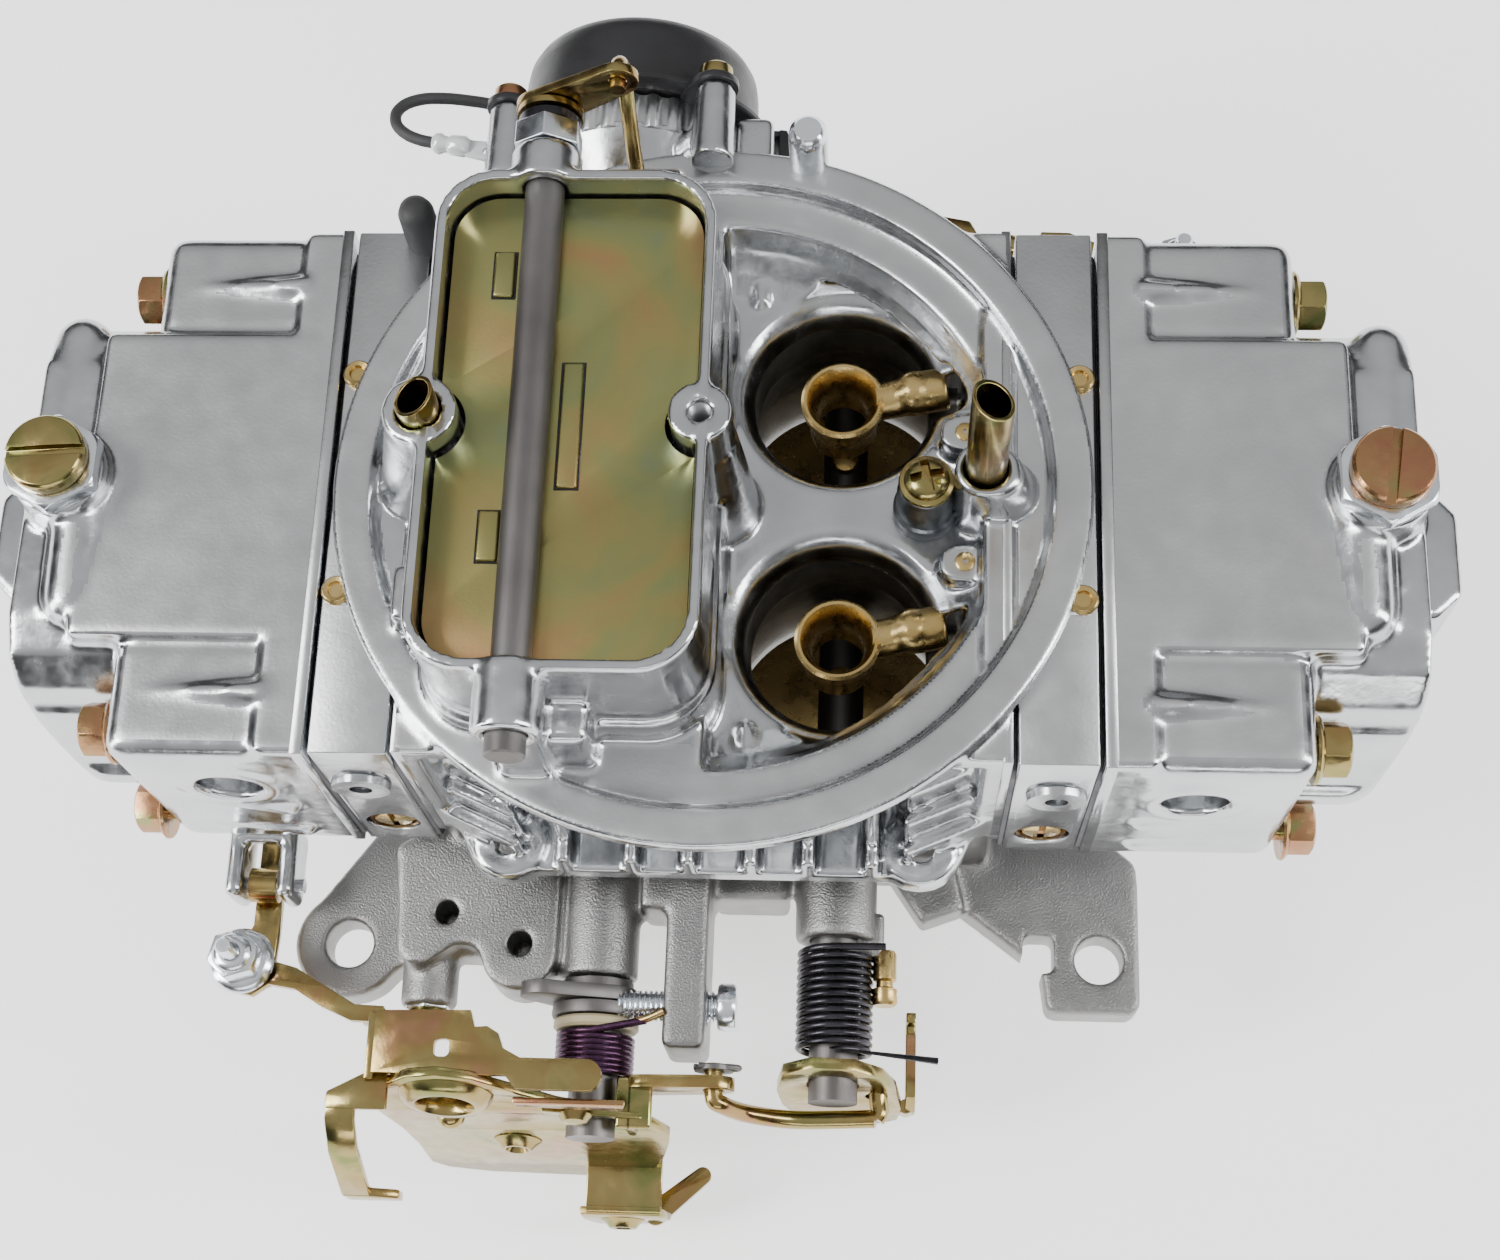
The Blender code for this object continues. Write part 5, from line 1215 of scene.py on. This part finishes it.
def shaft_group():
    x, z = -BORE[0], SHAFT_Z
    shaft = rod((x, -103.0, z), (x, 60.0, z), SHAFT_RADIUS, 40)
    for sy in (-1, 1):
        shaft = cut(shaft, box((x - 6, x + 6), both(sy, BORE[1] - 21, BORE[1] + 21),
                               (z - 1.05, z + 1.05)))
    lobe = flat(capsule((x, z), (x - 9.0, z + 6.0), 8.0, 4.6), -78.4, -75.8,
                [circle(x, z, 4.7, 32)], width=0.5)
    collar = turned([(4.7, -75.6), (6.6, -75.6), (6.6, -74.2), (4.7, -74.2)], (x, 0, z), "Y", 40)
    nut = turned([(4.7, -81.0), (8.2, -81.0), (8.4, -80.4), (8.2, -78.8), (4.7, -78.8)],
                 (x, 0, z), "Y", 48)
    piece(pool(shaft, lobe, collar, nut), "primary_shaft_bar", STEEL, THROTTLE_BODY,
          replaces=["primary_throttle_shaft"])
    bush = turned([(4.8, -83.4), (7.4, -83.4), (7.9, -82.9), (7.9, -81.8), (7.4, -81.3),
                   (4.8, -81.3)], (x, 0, z), "Y", 48)
    piece(bush, "primary_shaft_bushing", TAN, THROTTLE_BODY)
    pin_x, pin_z = PRIMARY_PIN
    washer = turned([(1.9, -91.0), (3.6, -91.0), (3.6, -90.2), (1.9, -90.2)], (pin_x, 0, pin_z),
                    "Y", 32)
    piece(washer, "link_pin_washer", STEEL, THROTTLE_BODY)
    x = BORE[0]
    bar = rod((x, -95.4, z), (x, 72.0, z), SHAFT_RADIUS, 40)
    for sy in (-1, 1):
        bar = cut(bar, box((x - 6, x + 6), both(sy, BORE[1] - 21, BORE[1] + 21),
                           (z - 1.05, z + 1.05)))
    piece(bar, "secondary_shaft_bar", STEEL, SECOND_BODY,
          replaces=["secondary_throttle_shaft"])


def secondary_lever():
    x, z = BORE[0], SHAFT_Z
    leaf = flat([(13, 21), (11.6, 12), (12.4, 4), (15, -3), (22, -6.5), (30, -6.5), (34, -3.5),
                 (34.6, 3), (33.5, 13), (31, 20), (26, 24.5), (18, 25)], -94.5, -92.4,
                [circle(*SECONDARY_PIN, 2.1, 24), circle(x, z, 4.85, 32)])
    strip = flat([(31.0, -3.2), (36.6, -3.2), (36.6, 1.2), (31.0, 1.2)], -94.3, -92.4)
    hook = flat([(-94.2, -3.0), (-94.2, 1.8), (-92.0, 4.6), (-80.2, 5.8), (-80.2, 2.6),
                 (-78.2, 2.6), (-78.2, 5.8), (-76.2, 5.8), (-76.2, -2.6), (-92.0, -3.2)],
                35.4, 37.3, axis="X")
    curl = rod((35.6, -93.2, -3.0), (35.6, -93.2, 1.6), 1.4, 24)
    spin(leaf, -9, "X", (0, -93.4, 0.0))
    piece(pool(leaf, strip, hook, curl), "secondary_lever_leaf", YELLOW,
          SECOND_BODY, replaces=["secondary_lever"])
    px, pz = SECONDARY_PIN
    end = wire([(px, -97.0, pz), (px + 0.6, -96.0, pz), (px + 0.4, -94.0, pz),
                (px, -91.4, pz + 0.7), (px - 1.4, -89.8, pz + 3.5), (25.4, -89.4, 17.0),
                (20.0, -89.6, 20.6)],
               LINK_RADIUS, 5, 4)
    piece(end, "throttle_link_hook_end", YELLOW, SECOND_BODY)


def throttle_link():
    px, pz = PRIMARY_PIN
    y = LINK_Y
    route = [(px, -89.6, pz), (px, -93.0, pz), (px + 0.2, y + 1.0, pz), (px + 1.6, y, pz - 1.0),
             (px + 6, y - 0.6, pz - 6.4), (px + 14, y - 0.8, pz - 11.0), (24.0, y - 0.4, 9.2),
             (SECONDARY_PIN[0] - 0.2, y - 0.2, SECONDARY_PIN[1])]
    rod_piece = wire(route, LINK_RADIUS, 5, 5)
    cotter = wire([(px - 3.6, -90.4, pz + 1.2), (px + 3.4, -90.4, pz - 0.4),
                   (px + 4.6, -90.4, pz + 1.0), (px + 3.0, -90.4, pz + 2.0),
                   (px - 2.6, -90.4, pz + 3.0)], 0.55, 3, 4)
    piece(rod_piece, "throttle_link_bar", YELLOW, "throttle_link_rod",
          replaces=["throttle_link"])
    piece(cotter, "throttle_link_cotter", STEEL, "throttle_link_rod")


def coil(x, z, y0, y1, radius, turns, wire_radius, start, end):
    steps = 20
    points = [start]
    for i in range(turns * steps + 1):
        angle = math.pi / 2 + 2 * math.pi * i / steps
        points.append((x + radius * math.cos(angle), y0 + (y1 - y0) * i / (turns * steps),
                       z + radius * math.sin(angle)))
    points.append(end)
    return wire(points, wire_radius, 3)


def springs():
    x, z = -BORE[0], SHAFT_Z
    item = coil(x, z, -84.2, -91.4, 6.7, 7, 0.72, (x + 10.0, -82.6, z + 8.4),
                (x - 9.0, -91.4, z + 5.0))
    piece(item, "primary_return_coil", PURPLE, replaces=["primary_return_spring"])
    tang = wire([(x + 7.0, -83.0, z + 7.4), (x + 10.4, -82.2, z + 8.6), (x + 13.4, -81.0, z + 9.6)],
                0.8, 4, 3)
    piece(tang, "primary_return_tang", COPPER)
    x = BORE[0]
    item = coil(x, z, -67.6, -86.4, 6.5, 13, 0.68, (x + 9.3, -67.4, z + 6.0),
                (x + 19.0, -87.6, z + 2.4))
    piece(item, "secondary_return_coil", SPRING,
          replaces=["secondary_return_spring"])
    pin = turned([(0, -67.0), (1.9, -67.0), (2.2, -67.6), (2.2, -72.4), (1.6, -72.8),
                  (1.6, -73.8), (2.4, -74.2), (2.4, -76.6), (2.0, -77.2), (0, -77.2)],
                 (31.2, 0, 16.0), "Y", 40)
    pin = cut(pin, rod((25, -75.0, 16), (38, -75.0, 16), 0.8, 16))
    piece(pin, "secondary_spring_anchor", BRASS)
    piece(box((24.0, 31.0), (-68.4, -60.0), (13.4, 18.0), 1.0), "spring_anchor_lug", BLASTED)


def idle_screw():
    y, z = -79.0, 20.0
    profile = [(0, -13.2), (2.2, -13.2)]
    for i in range(19):
        start = -12.8 + i * 0.95
        profile += [(2.85, start), (2.85, start + 0.2), (2.4, start + 0.5), (2.4, start + 0.7)]
    profile += [(2.6, 5.4), (4.0, 5.4), (4.4, 5.9), (4.4, 8.2), (4.0, 8.7), (0, 8.8)]
    stem = turned(profile, (0, y, z), axis="X", sides=40)
    slot = spin(box((7.5, 10.0), (y - 6, y + 6), (z - 0.55, z + 0.55)), 62, "X", (0, y, z))
    stem = cut(stem, slot)
    stem.data.transform(Matrix.Translation((-4.6 * MM, 0, 0)))
    piece(stem, "curb_idle_threaded_screw", ZINC, "idle_adjuster",
          replaces=["curb_idle_screw"])


def throttle_discs(side):
    for sy, label in ((-1, "near"), (1, "far")):
        x, y = side * BORE[0], sy * BORE[1]
        disc = rod((x, y, SHAFT_Z - 0.75), (x, y, SHAFT_Z + 0.75), 20.7, 96)
        body = THROTTLE_BODY if side < 0 else SECOND_BODY
        piece(soften(disc, 0.2, 2), f"{NAMES[side]}_butterfly_{label}", BRASS, body,
              replaces=[f"{NAMES[side]}_throttle_plate_{label}"])
        for shift in (-8.0, 8.0):
            head = turned([(0, 20.4), (2.2, 20.4), (2.6, 21.0), (2.3, 21.8), (0, 22.2)],
                          (x, y + shift, 0), sides=32)
            piece(head, f"{NAMES[side]}_butterfly_screw_{label}_{'a' if shift < 0 else 'b'}",
                  BRASS, body)


def pump_arm(side):
    """The arm on the throttle body that a throttle lever swings, with its hub and nut."""
    name = NAMES[side]
    px, pz = PUMP_ARM_X, PUMP_ARM_Z
    bx, by = PUMP_BOLT
    arm_body = name + "_pump_arm_body"
    strap = flat(capsule((side * px, pz), (side * (px + 9), pz + 1.0), 5.0, 2.8),
                 side * 81.0, side * 83.0, [circle(side * px, pz, 2.0, 24)])
    outline = [(px + 7.0, 83.4), (px + 13.0, 83.2), (px + 19.0, 80.6), (px + 24.0, 77.6),
               (px + 29.0, 76.8), (px + 32.0, 79.0), (px + 36.6, 78.2), (px + 39.4, 73.6),
               (px + 38.0, 69.6), (px + 34.0, 67.4), (px + 30.4, 68.6), (px + 28.6, 72.4),
               (px + 24.0, 73.6), (px + 18.0, 77.0), (px + 12.4, 80.2), (px + 7.0, 80.4)]
    pad = flat([(side * a, side * b) for a, b in outline], pz + 5.0, pz + 7.0,
               [circle(side * bx, side * by, 1.9, 20)], "Z")
    join_up = box(both(side, px + 6.6, px + 9.4), both(side, 80.6, 83.2), (pz - 1.0, pz + 7.0), 0.7)
    hub = turned([(0, 79.6), (3.4, 79.6), (4.4, 80.4), (4.6, 81.0), (4.6, 83.6), (4.0, 84.6),
                  (0, 84.8)], (0, 0, 0), axis="Y", sides=40)
    if side < 0:
        hub.data.transform(Matrix.Rotation(math.pi, 4, "Z"))
    hub.data.transform(Matrix.Translation(Vector((side * px, 0, pz)) * MM))
    piece(pool(strap, pad, join_up, hub), name + "_pump_arm_strip", YELLOW,
          arm_body, replaces=[name + "_pump_arm"])
    hexnut = flat(hexagon(side * px, pz, 8.0), side * 77.0, side * 79.8, width=0.4)
    piece(hexnut, name + "_pump_arm_nut", ZINC)


def pump_bolt(side):
    """The adjusting bolt on the arm's tip; it and its spring end just above the pump lever."""
    name = NAMES[side]
    arm_body = name + "_pump_arm_body"
    bx, by = PUMP_BOLT
    x, y = side * bx, side * by
    bolt = turned([(0, 15.6), (1.7, 15.6), (1.7, 35.0), (1.3, 35.6), (0, 35.6)], (x, y, 0), sides=28)
    flange = turned([(1.8, 22.2), (6.0, 22.2), (6.2, 22.8), (5.6, 23.8), (4.6, 24.4), (1.8, 24.4)],
                    (x, y, 0), sides=48)
    nut = flat(hexagon(x, y, 8.4, 0.3), 24.0, 29.6, [circle(x, y, 1.8, 20)], "Z", 0.7)
    dome = turned([(1.8, 29.2), (3.9, 29.2), (3.3, 30.4), (2.4, 30.8), (1.8, 30.8)], (x, y, 0),
                  sides=36)
    piece(pool(bolt, flange, nut, dome), name + "_pump_bolt_and_nut", ZINC, arm_body)
    points = []
    for i in range(5 * 16 + 1):
        angle = 2 * math.pi * i / 16
        points.append((x + 3.9 * math.cos(angle), y + 3.9 * math.sin(angle), 16.6 + 2.8 * i / 80))
    piece(wire(points, 0.62, 3), name + "_pump_spring", RED, arm_body)


def pump_lever(side):
    name = NAMES[side]
    bx, by = PUMP_BOLT
    py, plz = PUMP_LEVER_PIN
    mid = 86.5
    lever_body = name + "_pump_lever_body"
    bar = flat([(side * (mid - 2.4), side * 34.0), (side * (mid + 2.4), side * 34.0),
                (side * (mid + 2.4), side * 64.0), (side * (bx + 3.4), side * 70.0),
                (side * (bx + 3.6), side * 75.4), (side * bx, side * 77.0),
                (side * (bx - 3.6), side * 75.4), (side * (mid - 2.6), side * 66.0)],
               plz - 5.0, plz - 2.8, [circle(side * bx, side * by, 1.9, 20)], "Z")
    collar = rod((side * (mid - 2.6), side * py, plz), (side * (mid + 2.6), side * py, plz), 3.3, 36)
    collar = cut(collar, rod((side * 70, side * py, plz), (side * 100, side * py, plz), 1.7, 20))
    piece(pool(bar, collar), name + "_pump_lever_strip", YELLOW, lever_body,
          replaces=[name + "_pump_lever"])


def pump_cover(side):
    """The diaphragm cover under a bowl, with the clevis that carries the pump lever."""
    name = NAMES[side]
    py, plz = PUMP_LEVER_PIN
    lo, hi = 80.0, 93.0
    cover = turned([(0, 17.6), (17.4, 17.6), (19.6, 18.6), (20.4, 20.2), (20.6, 23.6), (0, 23.6)],
                   (side * 84.0, 0, 0), sides=96)
    arms = [box(both(side, lo + 1, hi - 1), both(side, 0, 50), (19.6, 23.4), 1.0)]
    for a in ((lo, lo + 3.2), (hi - 3.2, hi)):
        arms.append(box(both(side, *a), both(side, 46.0, 60.4), (12.2, 23.2), 1.4))
    pin = rod((side * (lo - 1.0), side * py, plz), (side * (hi + 1.0), side * py, plz), 1.4, 28)
    clevis = fuse(pool(cover, *arms), voxel=0.6, passes=2)
    piece(pool(clevis, pin), name + "_pump_cover_casting", POLISHED,
          replaces=[name + "_pump_cover"], angle=60)
    for angle in (20, 110, 200, 290):
        cx = side * 84.0 + 17.0 * math.cos(math.radians(angle))
        cy = 17.0 * math.sin(math.radians(angle))
        head = turned([(0, 15.0), (2.4, 15.2), (3.2, 16.0), (3.3, 17.8), (0, 17.8)], (cx, cy, 0),
                      sides=32)
        piece(head, f"{name}_pump_cover_screw_{angle}", ZINC)


def pump_linkage(side):
    pump_arm(side)
    pump_bolt(side)
    pump_lever(side)
    pump_cover(side)


def floats_and_gaskets():
    for side in (-1, 1):
        name = NAMES[side]
        body = box(both(side, 71.0, 93.0), (-30.0, 30.0), (48.0, 60.0), 3.4, 5)
        arm = box(both(side, 88.0, 104.0), (-4.8, 4.8), (57.2, 59.4), 0.5)
        hinge = rod((side * 104.0, -9, 60), (side * 104.0, 9, 60), 2.0, 32)
        piece(pool(body, arm, hinge), name + "_float_block", FOAM,
              name + "_float_body", replaces=[name + "_float"])


def dress_cad():
    """Give the CAD nodes that stay (the thin gaskets) their own surface."""
    for name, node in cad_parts.items():
        if "gasket" in name:
            node.material_slots[0].material = PAPER


add_camera()
ground_wire()
add_studio()
main_body()
for end in (PRIMARY, SECONDARY):
    metering_block(end)
    fuel_bowl(end)
    bowl_screws(end)
    level_adjuster(end)
    throttle_discs(end)
    pump_linkage(end)
    booster(end, -1, "near")
    booster(end, 1, "far")
throttle_body()
discharge()
vent_tube(VENT_X[0], "primary")
vent_tube(VENT_X[1], "secondary")
air_bleeds()
stud_thread()
choke_plate()
choke_gear()
choke_housing()
choke_cap()
throttle_lever()
shaft_group()
secondary_lever()
throttle_link()
springs()
idle_screw()
floats_and_gaskets()
dress_cad()
